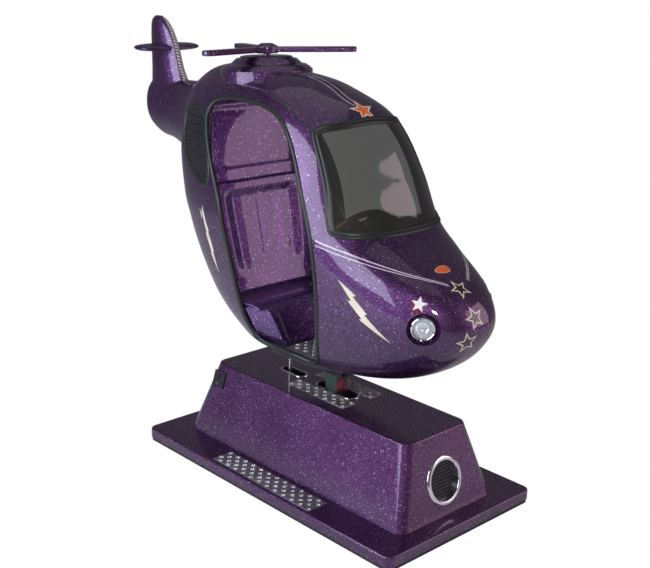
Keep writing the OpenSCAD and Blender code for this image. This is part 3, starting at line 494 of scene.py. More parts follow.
def ramp(tree, value, *stops):
    made = node(tree, "ValToRGB")
    bands = made.color_ramp.elements
    while len(bands) < len(stops):
        bands.new(0.5)
    for band, (place, colour) in zip(bands, stops):
        band.position = place
        band.color = (*colour, 1) if len(colour) == 3 else colour
    link(tree, value, made.inputs["Fac"])
    return made.outputs["Color"]


def mixed(tree, factor, a, b, blend="MIX"):
    made = node(tree, "Mix", data_type="RGBA", blend_type=blend)
    for socket, value in ((made.inputs["Factor"], factor), (made.inputs["A"], a), (made.inputs["B"], b)):
        if hasattr(value, "is_output"):
            link(tree, value, socket)
        elif isinstance(value, (int, float)):
            socket.default_value = value
        else:
            socket.default_value = (*value, 1)
    return made.outputs["Result"]


def bumped(tree, shader, height, strength, distance=0.001):
    made = node(tree, "Bump", Strength=strength, Distance=distance)
    link(tree, height, made.inputs["Height"])
    link(tree, made.outputs["Normal"], shader.inputs["Normal"])


# %% Gelcoat


def gelcoat(name, deep, bright, spark, flake=1300, tilt=0.42, worn=0.0, glints=0.984):
    material, tree, shader = fresh(name)
    coord = node(tree, "TexCoord").outputs["Object"]
    cells = node(tree, "TexVoronoi", Scale=flake)
    link(tree, coord, cells.inputs["Vector"])
    split = node(tree, "SeparateColor")
    link(tree, cells.outputs["Color"], split.inputs["Color"])
    body = ramp(tree, split.outputs["Red"], (0.0, deep), (0.55, [(a + b) / 2 for a, b in zip(deep, bright)]),
                (0.9, bright), (1.0, spark))
    clouds = ramp(tree, noise(tree, 5.0), (0.3, (0.62, 0.62, 0.66)), (0.7, (1.0, 1.0, 1.0)))
    body = mixed(tree, 1.0, body, clouds, "MULTIPLY")
    # Painted glints: a larger cell texture picks a sparse few cells, and the spark colour is painted into their base
    # colour, bright whatever light falls on them.
    big = node(tree, "TexVoronoi", Scale=flake * 0.30)
    link(tree, coord, big.inputs["Vector"])
    big_split = node(tree, "SeparateColor")
    link(tree, big.outputs["Color"], big_split.inputs["Color"])
    glint = ramp(tree, big_split.outputs["Green"], (glints, (0, 0, 0)), (min(0.999, glints + 0.010), (1, 1, 1)))
    body = mixed(tree, glint, body, spark)
    if worn:
        marks = ramp(tree, noise(tree, 34.0, 8.0, 0.75), (0.60, (0, 0, 0)), (0.68, (worn, worn, worn)))
        body = mixed(tree, marks, body, (0.42, 0.36, 0.44))
        dull = ramp(tree, noise(tree, 9.0, 6.0, 0.7), (0.35, (0.30, 0.30, 0.30)), (0.75, (0.5, 0.5, 0.5)))
        link(tree, dull, shader.inputs["Roughness"])
    else:
        shader.inputs["Roughness"].default_value = 0.30
    link(tree, body, shader.inputs["Base Color"])
    # Each flake's own tilt: its random colour, centred on nothing, is added to the surface normal.
    centred = node(tree, "VectorMath", operation="SUBTRACT")
    link(tree, cells.outputs["Color"], centred.inputs[0])
    centred.inputs[1].default_value = (0.5, 0.5, 0.5)
    leaning = node(tree, "VectorMath", operation="SCALE")
    link(tree, centred.outputs[0], leaning.inputs[0])
    leaning.inputs["Scale"].default_value = tilt
    added = node(tree, "VectorMath", operation="ADD")
    link(tree, leaning.outputs[0], added.inputs[0])
    link(tree, node(tree, "NewGeometry").outputs["Normal"], added.inputs[1])
    unit = node(tree, "VectorMath", operation="NORMALIZE")
    link(tree, added.outputs[0], unit.inputs[0])
    link(tree, unit.outputs[0], shader.inputs["Normal"])
    shader.inputs["Metallic"].default_value = 0.85
    shader.inputs["Coat Weight"].default_value = 1.0
    shader.inputs["Coat Roughness"].default_value = 0.12 if worn else 0.035
    shader.inputs["Coat IOR"].default_value = 1.5
    return material


flake = gelcoat("flake_gelcoat", (0.012, 0.002, 0.017), (0.140, 0.028, 0.180), (0.62, 0.42, 0.80))
flake_base = gelcoat("flake_gelcoat_base", (0.015, 0.002, 0.019), (0.150, 0.028, 0.175), (0.60, 0.40, 0.75), worn=0.22)
# The seat's flake is brighter, with more painted glints.
flake_seat = gelcoat("flake_gelcoat_seat", (0.034, 0.009, 0.075), (0.26, 0.085, 0.44), (0.85, 0.68, 1.0),
                     flake=1000, tilt=0.5, glints=0.972)

# %% Rubber, plastic, metal and glass


def plain(name, colour, rough, metallic=0.0, grain=0.0, grain_scale=900, patch=0.12, coat=0.0):
    """A moulded or painted finish with slight colour patches, uneven gloss and a fine grain."""
    material, tree, shader = fresh(name)
    tone = noise(tree, 12.0, 5.0)
    light = [min(1.0, c * (1 + patch) + patch * 0.02) for c in colour]
    dark = [c * (1 - patch) for c in colour]
    link(tree, ramp(tree, tone, (0.3, dark), (0.7, light)), shader.inputs["Base Color"])
    gloss = noise(tree, 40.0, 6.0, 0.7)
    uneven = ramp(tree, gloss, (0.25, [rough * 0.8] * 3), (0.8, [min(1, rough * 1.3)] * 3))
    link(tree, uneven, shader.inputs["Roughness"])
    shader.inputs["Metallic"].default_value = metallic
    if coat:
        shader.inputs["Coat Weight"].default_value = coat
        shader.inputs["Coat Roughness"].default_value = 0.05
    if grain:
        bumped(tree, shader, noise(tree, grain_scale, 2.0), grain, 0.0004)
    return material


def clear(name, colour, rough, alpha):
    """Tinted transparent sheet."""
    material, tree, shader = fresh(name)
    shader.inputs["Base Color"].default_value = (*colour, 1)
    shader.inputs["Roughness"].default_value = rough
    shader.inputs["Alpha"].default_value = alpha
    shader.inputs["Coat Weight"].default_value = 0.6
    shader.inputs["Coat Roughness"].default_value = 0.02
    smear = noise(tree, 7.0, 4.0)
    link(tree, ramp(tree, smear, (0.4, [rough] * 3), (0.8, [rough * 2.2] * 3)), shader.inputs["Roughness"])
    return material


FINISH = {
    "gelcoat": flake,
    "black_board": plain("base_board_black", (0.018, 0.016, 0.020), 0.65, grain=0.5, grain_scale=220),
    "black_rubber": plain("seal_rubber", (0.011, 0.014, 0.012), 0.36, grain=0.25, grain_scale=500),
    "black_plastic": plain("black_plastic", (0.014, 0.013, 0.016), 0.34, grain=0.3, grain_scale=700),
    "dark_gloss": plain("dash_black", (0.020, 0.016, 0.024), 0.2, grain=0.15, coat=0.6),
    "chequer_aluminium": plain("tread_aluminium", (0.42, 0.41, 0.43), 0.36, 0.9, grain=0.5, grain_scale=300, patch=0.3),
    "chrome": plain("chrome_plate", (0.80, 0.80, 0.82), 0.08, 1.0, patch=0.05),
    "steel": plain("bright_steel", (0.45, 0.45, 0.47), 0.3, 1.0, grain=0.3, grain_scale=260),
    "frame_paint": plain("frame_black", (0.016, 0.015, 0.018), 0.42, grain=0.35, grain_scale=150),
    "grey_paint": plain("machine_grey", (0.30, 0.31, 0.32), 0.45, grain=0.4, grain_scale=180),
    "copper_iron": plain("core_varnish", (0.17, 0.08, 0.03), 0.4, 0.3, grain=0.4, grain_scale=400),
    "floor_board": plain("floor_ply", (0.035, 0.028, 0.030), 0.6, grain=0.6, grain_scale=120, patch=0.3),
    "wheel_yellow": plain("wheel_yellow", (0.80, 0.40, 0.03), 0.28, grain=0.1, coat=0.5),
    "button_red": plain("button_red", (0.55, 0.02, 0.02), 0.22, coat=0.6),
    "button_green": plain("button_green", (0.02, 0.30, 0.06), 0.22, coat=0.6),
    "gusset_paint": plain("gusset_green", (0.06, 0.10, 0.085), 0.45, 0.2, grain=0.4, grain_scale=160),
    "smoked_glass": clear("smoked_windscreen", (0.026, 0.028, 0.022), 0.05, 0.74),
    "clear_lens": clear("lamp_lens", (0.85, 0.88, 0.92), 0.04, 0.28),
}


def striped(name, one=(0.16, 0.010, 0.022), two=(0.010, 0.008, 0.010), scale=9.0):
    """Slanted bars in two colours, as on a guarded post."""
    material, tree, shader = fresh(name)
    coord = node(tree, "TexCoord").outputs["Object"]
    wave = node(tree, "TexWave", Scale=scale, Distortion=0.0)
    wave.bands_direction = "DIAGONAL"
    link(tree, coord, wave.inputs["Vector"])
    colour = ramp(tree, wave.outputs["Fac"], (0.46, one), (0.54, two))
    link(tree, colour, shader.inputs["Base Color"])
    shader.inputs["Roughness"].default_value = 0.35
    bumped(tree, shader, noise(tree, 200.0), 0.2, 0.0004)
    return material


FINISH["post_paint"] = striped("post_stripes")


def decal_ink(name, colour):
    return plain(name, colour, 0.22, patch=0.10, coat=0.8)


CREAM, INK, ORANGE, WHITE, WINE = (decal_ink("vinyl_" + n, c) for n, c in (
    ("cream", (0.70, 0.62, 0.50)), ("black", (0.012, 0.008, 0.014)), ("orange", (0.80, 0.14, 0.02)),
    ("white", (0.85, 0.83, 0.82)), ("wine", (0.20, 0.012, 0.045))))
PALE = decal_ink("vinyl_lilac", (0.55, 0.47, 0.55))
print("finishes:", len(bpy.data.materials))


def wear(piece, finish, body=None, stands_for=()):
    """Gives a piece its finish and its body, and hides the CAD nodes it stands for."""
    piece.data.materials.clear()
    piece.data.materials.append(finish)
    if body:
        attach(piece, body)
    if stands_for:
        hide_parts(*stands_for)
    return piece


# %% [markdown]
# ## CAD nodes that stay
# The machine parts inside the pedestal, the posts and the brackets are right as they are. Their
# triangles are loose, so a Weld modifier joins them and an Edge Split modifier keeps the real
# corners sharp while the round faces shade smoothly. Each takes the finish of its slot.

# %% Finish the CAD nodes
slots = {row["node"]: row["material_slot"] for row in frame["record"]["subparts"]}
for name, solid in nodes.items():
    solid.data.materials.clear()
    solid.data.materials.append(FINISH[slots[name]])
    for face in solid.data.polygons:
        face.use_smooth = True
    solid.modifiers.new("weld", "WELD").merge_threshold = 1e-5
    split_edges = solid.modifiers.new("corners", "EDGE_SPLIT")
    split_edges.split_angle = math.radians(28)
print("CAD nodes finished:", len(nodes))

# %% [markdown]
# ## Cabin shell
# The real shell is one glass-fibre moulding about 5 mm thick. A ball is stretched over the rings
# for the outside, a second one just inside it hollows it, and prisms cut the two doorways, the two
# vents, the windscreen and the lamp recesses, which is also how a trimmer would do it with a saw.

# %% Cabin shell


def stretched(inset):
    def place(turn, height):
        t = height * (LAST + 2) - 1
        if t < 0:
            return cabin_point(turn, 0, inset).lerp(Vector((0, 0, ring(0, inset)[0])), -t)
        if t > LAST:
            top = cabin_point(turn, LAST, inset)
            return top.lerp(Vector((0, 0.355, CABIN_Z + CABIN_H - inset - 0.011)), t - LAST)
        return cabin_point(turn, t, inset)
    return place


LAMP = Vector((-0.160, front_point(0.160, 0.706).y, 0.706))
LAMP_YAW = math.radians(48)


def lamp_matrix(side):
    """The frame of a headlight: its local Z points out of the lamp."""
    turn = Matrix.Rotation(side * LAMP_YAW, 4, "Z") @ Matrix.Rotation(math.pi / 2, 4, "X")
    return Matrix.Translation((side * -LAMP.x, LAMP.y, LAMP.z)) @ turn


shell = ball("cabin_moulding", 200, 150, stretched(0))
skin = BVHTree.FromPolygons([v.co.copy() for v in shell.data.vertices],
                            [tuple(p.vertices) for p in shell.data.polygons])
cut(shell, ball("hollow", 160, 120, stretched(WALL)))
cut(shell, prism("doorways", [(-0.4, p.x, p.y) for p in DOOR], (0.8, 0, 0)))
cut(shell, prism("vent_holes", [(-0.4, p.x, p.y) for p in VENT], (0.8, 0, 0)))
cut(shell, prism("screen_hole", [(p.x, -0.7, p.y) for p in SCREEN], (0, 0.7, 0)))
for side in (-1, 1):
    bpy.ops.mesh.primitive_cylinder_add(vertices=64, radius=0.0523, depth=0.12)
    drill = named("drill")
    drill.matrix_world = lamp_matrix(side)
    settle(drill)
    cut(shell, drill)
soften(shell, 32)
wear(shell, flake, "rocker", ["cabin_shell"])
print("shell faces:", len(shell.data.polygons))

# %% [markdown]
# ## Tail
# The boom is a ball stretched along oval stations, like the cabin but lying down. The fin grows out
# of it, and the stabiliser is a flat lens with pointed tips.

# %% Tail
BOOM = ((0.540, 0.930, 1.325, 0.165), (0.660, 0.985, 1.308, 0.118), (0.780, 1.030, 1.293, 0.080),
        (0.880, 1.062, 1.290, 0.060), (0.960, 1.072, 1.294, 0.052), (1.020, 1.098, 1.282, 0.046),
        (1.050, 1.130, 1.252, 0.034), (1.064, 1.165, 1.215, 0.014))
FIN = ((1.190, 0.770, 1.046, 0.044), (1.262, 0.818, 1.046, 0.040), (1.325, 0.860, 1.045, 0.035),
       (1.400, 0.888, 1.048, 0.031), (1.460, 0.920, 1.050, 0.026), (1.498, 0.955, 1.046, 0.019),
       (1.516, 0.988, 1.026, 0.008))
STABILISER_HALF = 0.130


def oval(turn, a, b, n=2.0):
    c, s = math.cos(2 * math.pi * turn), math.sin(2 * math.pi * turn)
    return a * math.copysign(abs(c) ** (2 / n), c), b * math.copysign(abs(s) ** (2 / n), s)


def closing(t, last):
    """How much of its section a stretched ball keeps at t: it closes in beyond its end stations."""
    if t < 0:
        return max(0.0, min(1.0, 1 + 2 * t))
    return max(0.0, 1 - 2 * (t - last)) if t > last else 1


def boom_place(turn, height):
    t = height * len(BOOM) - 0.5
    y, low, high, half = along(BOOM, max(0.0, min(t, len(BOOM) - 1)))
    squeeze = closing(t, len(BOOM) - 1)
    up_, out = oval(turn, (high - low) / 2 * squeeze, half * squeeze, 2.3)
    return Vector((out, y, (low + high) / 2 + up_))


def fin_place(turn, height):
    t = height * len(FIN) - 0.5
    z, front, rear, half = along(FIN, max(0.0, min(t, len(FIN) - 1)))
    squeeze = closing(t, len(FIN) - 1)
    x, y = oval(turn, half * squeeze, (rear - front) / 2 * squeeze)
    return Vector((x, (front + rear) / 2 + y, z))


def stabiliser_place(turn, height):
    i = 12 * height - 6
    k = math.sqrt(max(0.001, 1 - (i / 6) ** 2))
    a, b = oval(turn, 0.060, 0.015)
    chord = 0.0 if k < 0.05 else 0.05 + 0.95 * k
    return Vector((STABILISER_HALF * math.sin(math.radians(i * 15)), 0.960 + a * chord, 1.403 + b * k))


boom = soften(ball("tail_boom_moulding", 96, 72, boom_place))
wear(boom, flake, "rocker", ["tail_boom"])
fin = soften(ball("tail_fin_moulding", 64, 64, fin_place))
stabiliser = soften(ball("stabiliser_moulding", 40, 48, stabiliser_place))
fin = join([fin, stabiliser], "tail_fin_moulding")
wear(fin, flake, "rocker", ["tail_fin"])

# %% [markdown]
# ## Door rubbers, gasket and glass
# A rubber extrusion is pushed over the raw edge of each opening. It is one ring whose section has a
# soft bead and a thin lip. The windscreen's gasket is a wider one.

# %% Seals and glass


def bead(half, height, n=2.4, count=14):
    return [oval(k / count, half, height, n) for k in range(count)]


LIP = [(0.0085, -0.003), (0.0090, 0.001), (0.0075, 0.0045), (0.004, 0.0068), (0.0, 0.0072), (-0.004, 0.0062),
       (-0.0065, 0.0035), (-0.0078, 0.0), (-0.0072, -0.004), (-0.0050, -0.0068), (0.0, -0.0074), (0.005, -0.006)]
GASKET = [(0.014, -0.0035), (0.0150, 0.001), (0.013, 0.0052), (0.0085, 0.0074), (0.004, 0.0070), (0.0015, 0.0052),
          (-0.001, 0.0052), (-0.004, 0.0066), (-0.0095, 0.0062), (-0.0135, 0.0036), (-0.0152, -0.0005),
          (-0.012, -0.005), (0.0, -0.0070), (0.010, -0.006)]
for side, hand in ((-1, "right"), (1, "left")):
    rubber = seal("door_rubber_" + hand, DOOR, side, LIP)
    wear(rubber, FINISH["black_rubber"], "rocker", ["door_trim_" + hand])
vent_seals = join([seal("vent_rubber", VENT, side, bead(0.0092, 0.0070)) for side in (-1, 1)], "vent_rubbers")
wear(vent_seals, FINISH["black_rubber"], "rocker", ["vent_trims"])
wear(seal("windscreen_rubber", SCREEN, 0, GASKET), FINISH["black_rubber"], "rocker",
     ["windscreen_gasket"])
glass = pane("windscreen_pane", grown(SCREEN, 0.006), 0, 0.0008, 0.0042)
wear(glass, FINISH["smoked_glass"], "rocker", ["windscreen"])

# %% Side vents
VENT_LOW, VENT_HIGH = min(p.y for p in VENT) + 0.004, max(p.y for p in VENT) - 0.004
VENT_SPAN = {}


def vent_span(z):
    key = round(z, 5)
    if key not in VENT_SPAN:
        crossings = []
        for p, q in zip(VENT, VENT[1:] + VENT[:1]):
            if (p.y - z) * (q.y - z) <= 0 and p.y != q.y:
                crossings.append(p.x + (q.x - p.x) * (z - p.y) / (q.y - p.y))
        VENT_SPAN[key] = (min(crossings) + 0.002, max(crossings) - 0.002)
    return VENT_SPAN[key]


def louvre_place(side):
    def place(u, v):
        z = VENT_LOW + (VENT_HIGH - VENT_LOW) * v
        y0, y1 = vent_span(z)
        y = y0 + (y1 - y0) * u
        slat = (v * 19) % 1.0
        depth = 0.0012 + 0.0058 * (slat if slat < 0.75 else (1 - slat) * 3)
        return side_point(y, z, side, depth)
    return place


louvres = [sheet("louvre", 28, 200, louvre_place(side), 0.002, 1 if side > 0 else -1) for side in (-1, 1)]
louvres = soften(join(louvres, "side_louvres"), 60)
wear(louvres, FINISH["black_plastic"], "rocker", ["side_vents"])
print("seals and vents made")

# %% [markdown]
# ## Seat
# The seat is a second moulding in brighter flake: a leaning riser with a sunk panel, a cushion, a
# lower back with a broad, shallowly fluted panel between side bolsters, a small ledge and a sunk
# head panel. It starts as a grid along the seat's own side line, with the relief as a depth on it.

# %% Seat
SEAT_LINE = ((0.060, 0.488), (0.084, 0.575), (0.104, 0.612), (0.140, 0.626), (0.230, 0.618), (0.300, 0.612),
             (0.322, 0.640), (0.352, 0.780), (0.382, 0.900), (0.400, 0.985), (0.422, 0.992), (0.440, 1.080),
             (0.466, 1.180), (0.486, 1.260))


def seat_place(u, v):
    t = v * (len(SEAT_LINE) - 1)
    y, z = along(SEAT_LINE, t)
    y2, z2 = along(SEAT_LINE, min(t + 0.05, len(SEAT_LINE) - 1))
    y1, z1 = along(SEAT_LINE, max(t - 0.05, 0))
    tangent = Vector((y2 - y1, z2 - z1)).normalized()
    inward = Vector((tangent.y, -tangent.x))
    w = 2 * u - 1
    if t < 2.2:                                           # the riser wraps back to meet the shell
        y += 0.10 * ease((abs(w) - 0.86) / 0.14) * ease((2.2 - t) / 0.6)
    half = min(side_point(y, z, 1, 0.008).x, side_point(y + 0.008, z, 1, 0.008).x)
    x = half * w
    depth = 0.0
    if t < 2.2:                                           # sunk panel in the riser
        depth += 0.006 * ease((0.78 - abs(w)) / 0.08) * ease((t - 0.12) / 0.2) * ease((1.75 - t) / 0.2)
    if 6.0 < t < 9.0:                                     # broad panel between side bolsters
        span = ease((t - 6.2) / 0.5) * ease((8.7 - t) / 0.35)
        depth += 0.010 * ease((0.66 - abs(w)) / 0.16) * span
        depth += 0.0025 * (1 - math.cos(2 * math.pi * 3 * w)) / 2 * ease((0.56 - abs(w)) / 0.1) * span
    if t > 10.3:                                          # sunk head panel
        depth += 0.006 * ease((0.80 - abs(w)) / 0.08) * ease((t - 10.4) / 0.25) * ease((12.8 - t) / 0.3)
    y += inward.x * depth
    z += inward.y * depth
    return Vector((x, y, z))


seat_shell = sheet("seat_moulding", 150, 200, seat_place, 0.006, -1)
soften(seat_shell, 60)
wear(seat_shell, flake_seat, "rocker", ["seat"])

# %% [markdown]
# ## Base
# The floor plate and the pedestal are boxes: the pedestal's top face is scaled in to give the
# taper, its uprights get a broad bevel and its top rim a small one, and the port, the slots and
# the service opening are cut through.

# %% Pedestal and floor plate
PED_Y = -0.012
FOOT_Z, TOP_Z = 0.048, 0.308                              # where the pedestal starts and ends
FOOT_X, TOP_X = 0.2285, 0.149                             # its half widths there
FOOT_Y, TOP_Y = 0.541, 0.4755                             # and its half lengths
BASE_WALL = 0.006
plate = block("floor_plate_moulding", (-0.350, -0.620, 0.012), (0.350, 0.620, FOOT_Z))


def bevel_edges(piece, chosen, width, segments):
    """Rounds the edges that chosen(start, end) picks."""
    alone(piece)
    bpy.ops.object.mode_set(mode="EDIT")
    bpy.ops.mesh.select_all(action="DESELECT")
    bpy.ops.mesh.select_mode(type="EDGE")
    mesh = bmesh.from_edit_mesh(piece.data)
    for e in mesh.edges:
        e.select = bool(chosen(e.verts[0].co, e.verts[1].co))
    bmesh.update_edit_mesh(piece.data)
    bpy.ops.mesh.bevel(offset=width, segments=segments, affect="EDGES")
    bpy.ops.mesh.select_mode(type="VERT")
    bpy.ops.object.mode_set(mode="OBJECT")
    return piece


bevel_edges(plate, lambda a, b: abs(a.z - b.z) > 0.02, 0.028, 8)
bevel_edges(plate, lambda a, b: min(a.z, b.z) > FOOT_Z - 0.001, 0.007, 4)
soften(plate, 40)
wear(plate, flake_base, "base", ["floor_plate"])

pedestal = block("pedestal_moulding", (-FOOT_X, PED_Y - FOOT_Y, FOOT_Z), (FOOT_X, PED_Y + FOOT_Y, TOP_Z))
for v in pedestal.data.vertices:
    if v.co.z > 0.3:
        v.co.x *= TOP_X / FOOT_X
        v.co.y = PED_Y + (v.co.y - PED_Y) * TOP_Y / FOOT_Y
bevel_edges(pedestal, lambda a, b: abs(a.z - b.z) > 0.1, 0.036, 10)
bevel_edges(pedestal, lambda a, b: min(a.z, b.z) > TOP_Z - 0.001, 0.005, 3)
hollow_x, hollow_y = FOOT_X - BASE_WALL, FOOT_Y - BASE_WALL
hollow = block("pedestal_hollow", (-hollow_x, PED_Y - hollow_y, FOOT_Z - 0.008),
               (hollow_x, PED_Y + hollow_y, TOP_Z - BASE_WALL))
for v in hollow.data.vertices:
    if v.co.z > 0.3:
        v.co.x *= (TOP_X - BASE_WALL) / hollow_x
        v.co.y = PED_Y + (v.co.y - PED_Y) * (TOP_Y - BASE_WALL) / hollow_y
bevel_edges(hollow, lambda a, b: abs(a.z - b.z) > 0.1, 0.030, 10)
cut(pedestal, hollow)


def stadium(length, width, y, count=24):
    """Points of a slot that runs along Y."""
    points = []
    for k in range(2 * count):
        a = math.pi * k / count
        shift = (length - width) / 2
        points.append(Vector((width / 2 * math.cos(a), y + width / 2 * math.sin(a) + (shift if k < count else -shift))))
    return points


SLOTS = (("front", 0.180, 0.051, -0.025), ("rear", 0.110, 0.038, 0.200))
for _, *slot in SLOTS:
    cut(pedestal, prism("slot_tool", [(p.x, p.y, 0.28) for p in stadium(*slot)], (0, 0, 0.05)))
END_SLOPE = math.atan((FOOT_Y - TOP_Y) / (TOP_Z - FOOT_Z))
SIDE_SLOPE = math.atan((FOOT_X - TOP_X) / (TOP_Z - FOOT_Z))


def end_half(z):
    return FOOT_Y - (FOOT_Y - TOP_Y) * (z - FOOT_Z) / (TOP_Z - FOOT_Z)


def side_half(z):
    return FOOT_X - (FOOT_X - TOP_X) * (z - FOOT_Z) / (TOP_Z - FOOT_Z)


PORT_Z = FOOT_Z + 0.111 * math.cos(END_SLOPE)
PORT = Matrix.Translation((0, PED_Y - end_half(PORT_Z), PORT_Z)) @ Matrix.Rotation(math.pi / 2 - END_SLOPE, 4, "X")
SERVICE = (Matrix.Translation((0, PED_Y + end_half(0.163), 0.163))
           @ Matrix.Rotation(END_SLOPE - math.pi / 2, 4, "X") @ Matrix.Rotation(math.pi, 4, "Z"))
COIN = Matrix.Translation((-side_half(0.252), 0.424, 0.252)) @ Matrix.Rotation(SIDE_SLOPE - math.pi / 2, 4, "Y")
bpy.ops.mesh.primitive_cylinder_add(vertices=96, radius=0.070, depth=0.06)
tool = named("port_tool")
tool.matrix_world = PORT
cut(pedestal, settle(tool))
for matrix, size in ((SERVICE, (0.20, 0.13, 0.04)), (COIN, (0.048, 0.048, 0.04))):
    tool = block("tool", [-s / 2 for s in size], [s / 2 for s in size])
    tool.matrix_world = matrix
    cut(pedestal, settle(tool))
soften(pedestal, 40)
wear(pedestal, flake_base, "base", ["pedestal_shell"])
print("pedestal faces:", len(pedestal.data.polygons))

# %% [markdown]
# ## Chequer plates
# Tread plate has short raised bars in pairs that swap direction from place to place. One bar is
# modelled with tapered ends, and copies of it stand on a bevelled sheet.

# %% Chequer plates


def tread(name, low, high, pitch=0.021, base=None, room=None):
    """Tread plate between two corners. A shaped base brings its own room(x, y) for the bars."""
    base = base or block(name, low, (high[0], high[1], low[2] + 0.0016), 0.0006, 2)
    bars = bmesh.new()
    nx = max(1, round((high[0] - low[0]) / pitch))
    ny = max(1, round((high[1] - low[1]) / pitch))
    for i in range(nx):
        for j in range(ny):
            centre = Vector((low[0] + (i + 0.5) * (high[0] - low[0]) / nx, low[1] + (j + 0.5) * (high[1] - low[1]) / ny,
                             low[2] + 0.0012))
            if room and not room(centre.x, centre.y):
                continue
            turn = math.radians(45 if (i + j) % 2 else -45)
            for shift in (-0.0042, 0.0042):
                spin = Matrix.Translation(centre) @ Matrix.Rotation(turn, 4, "Z") @ Matrix.Translation((0, shift, 0))
                foot = [(-0.0085, 0), (0, -0.0026), (0.0085, 0), (0, 0.0026)]
                top = [(-0.0055, 0), (0, -0.0011), (0.0055, 0), (0, 0.0011)]
                a = [bars.verts.new(spin @ Vector((x, y, 0))) for x, y in foot]
                b = [bars.verts.new(spin @ Vector((x, y, 0.0018))) for x, y in top]
                bars.faces.new(b)
                bars.faces.new(a[::-1])
                for k in range(4):
                    bars.faces.new((a[k], a[(k + 1) % 4], b[(k + 1) % 4], b[k]))
    bpy.ops.mesh.primitive_plane_add(size=1)
    raised = named(name + "_bars")
    bars.to_mesh(raised.data)
    bars.free()
    return soften(join([base, raised], name), 30)


for node_name, width in (("step_plates", 0.084), ("top_plates", 0.062)):
    low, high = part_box(node_name)
    parts = [tread(node_name, (low.x, low.y, low.z), (low.x + width, high.y, high.z)),
             tread(node_name, (high.x - width, low.y, low.z), (high.x, high.y, high.z))]
    wear(join(parts, node_name + "_tread"), FINISH["chequer_aluminium"], "base", [node_name])

mat_low, mat_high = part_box("cabin_mat")
MAT_END = 0.004                                           # how far the mat stops short of its box at each end


def mat_half(y):
    return min(mat_high.x, side_point(y, mat_low.z + 0.001, 1, 0.014).x)


def mat_place(u, v):
    y = mat_low.y + MAT_END + (mat_high.y - mat_low.y - 2 * MAT_END) * v
    return Vector(((2 * u - 1) * mat_half(y), y, mat_low.z + 0.0016))


mat_sheet = sheet("cabin_mat", 12, 40, mat_place, 0.0015, -1)
mat = tread("cabin_mat", (mat_low.x, mat_low.y + MAT_END, mat_low.z), (mat_high.x, mat_high.y - MAT_END, mat_high.z),
            base=mat_sheet, room=lambda x, y: abs(x) < mat_half(y) - 0.014)
wear(mat, FINISH["chequer_aluminium"], "rocker", ["cabin_mat"])

# %% Slot rings and port ring


def slot_ring(name, length, width, y):
    inner = stadium(length, width, y, 32)
    n = len(inner)
    outer = grown(inner, 0.007)
    profile = [(0.0, 0.0), (0.0, 0.0022), (0.25, 0.0034), (0.6, 0.0034), (0.9, 0.0022), (1.0, 0.0)]

    def place(turn, roll_):
        i = round(turn * n) % n
        a, h = profile[round(roll_ * 6) % 6]
        p = inner[i].lerp(outer[i], a)
        return Vector((p.x, p.y, TOP_Z + h))

    return soften(hoop(name, n, 6, place), 40)


for end, *slot in SLOTS:
    wear(slot_ring("slot_trim_" + end, *slot), FINISH["chrome"], "base", ["slot_ring_" + end])
port_trim = turned("port_trim", [(0.066, -0.014), (0.066, 0.002), (0.0675, 0.0045), (0.072, 0.0058), (0.078, 0.0048),
                                 (0.0812, 0.0025), (0.082, 0.0), (0.0697, 0.0), (0.0697, -0.014)], PORT, 96)
wear(port_trim, FINISH["chrome"], "base", ["port_ring"])

# %% [markdown]
# ## Headlights
# Each lamp is a chrome bowl behind a moulded clear lens, held by a chrome ring in a recess.

# %% Headlights
LENS_R = 0.0315
pods, bowls, rings_, lenses = [], [], [], []
for side in (-1, 1):
    at = lamp_matrix(side)
    pods.append(turned("pod", [(0.052, -0.046), (0.052, -0.004), (0.0505, -0.0035), (0.046, -0.014), (0.042, -0.019),
                               (0.036, -0.021), (0.034, -0.024), (0.034, -0.046)], at))
    bowls.append(turned("bowl", [(0.0, -0.042), (0.012, -0.041), (0.024, -0.034), (0.0315, -0.024), (0.0332, -0.021),
                                 (0.0335, -0.022), (0.0335, -0.044), (0.0, -0.044)], at))
    rings_.append(turned("lamp_ring", [(0.032, -0.019), (0.032, -0.010), (0.0325, -0.0075), (0.0345, -0.006),
                                       (0.037, -0.0075), (0.0385, -0.011), (0.039, -0.016), (0.0385, -0.0195)], at))

    def lens_place(turn, height, at=at):
        reach = math.sin((1 - abs(2 * height - 1)) * math.pi / 2) ** 0.7 * LENS_R
        x, y = reach * math.cos(2 * math.pi * turn), reach * math.sin(2 * math.pi * turn)
        if height < 0.5:
            return at @ Vector((x, y, -0.016))
        ribs = 0.0007 * math.cos(2 * math.pi * x / 0.0052) * (1 if abs(y) < 0.019 else 0.3)
        return at @ Vector((x, y, -0.013 + 0.0075 * (1 - (reach / LENS_R) ** 2) + ribs))

    lenses.append(soften(ball("lens", 96, 60, lens_place), 60))
wear(join(pods, "lamp_pods"), flake, "rocker", ["headlight_pods"])
wear(join(bowls, "lamp_bowls"), FINISH["chrome"], "rocker", ["headlight_bowls"])
wear(join(rings_, "lamp_rings"), FINISH["chrome"], "rocker", ["headlight_rings"])
wear(join(lenses, "lamp_lenses"), FINISH["clear_lens"], "rocker", ["headlight_lenses"])

# %% [markdown]
# ## Rotor
# The hub is turned, and each blade is a flat bar with a rounded tip and softly bevelled edges.

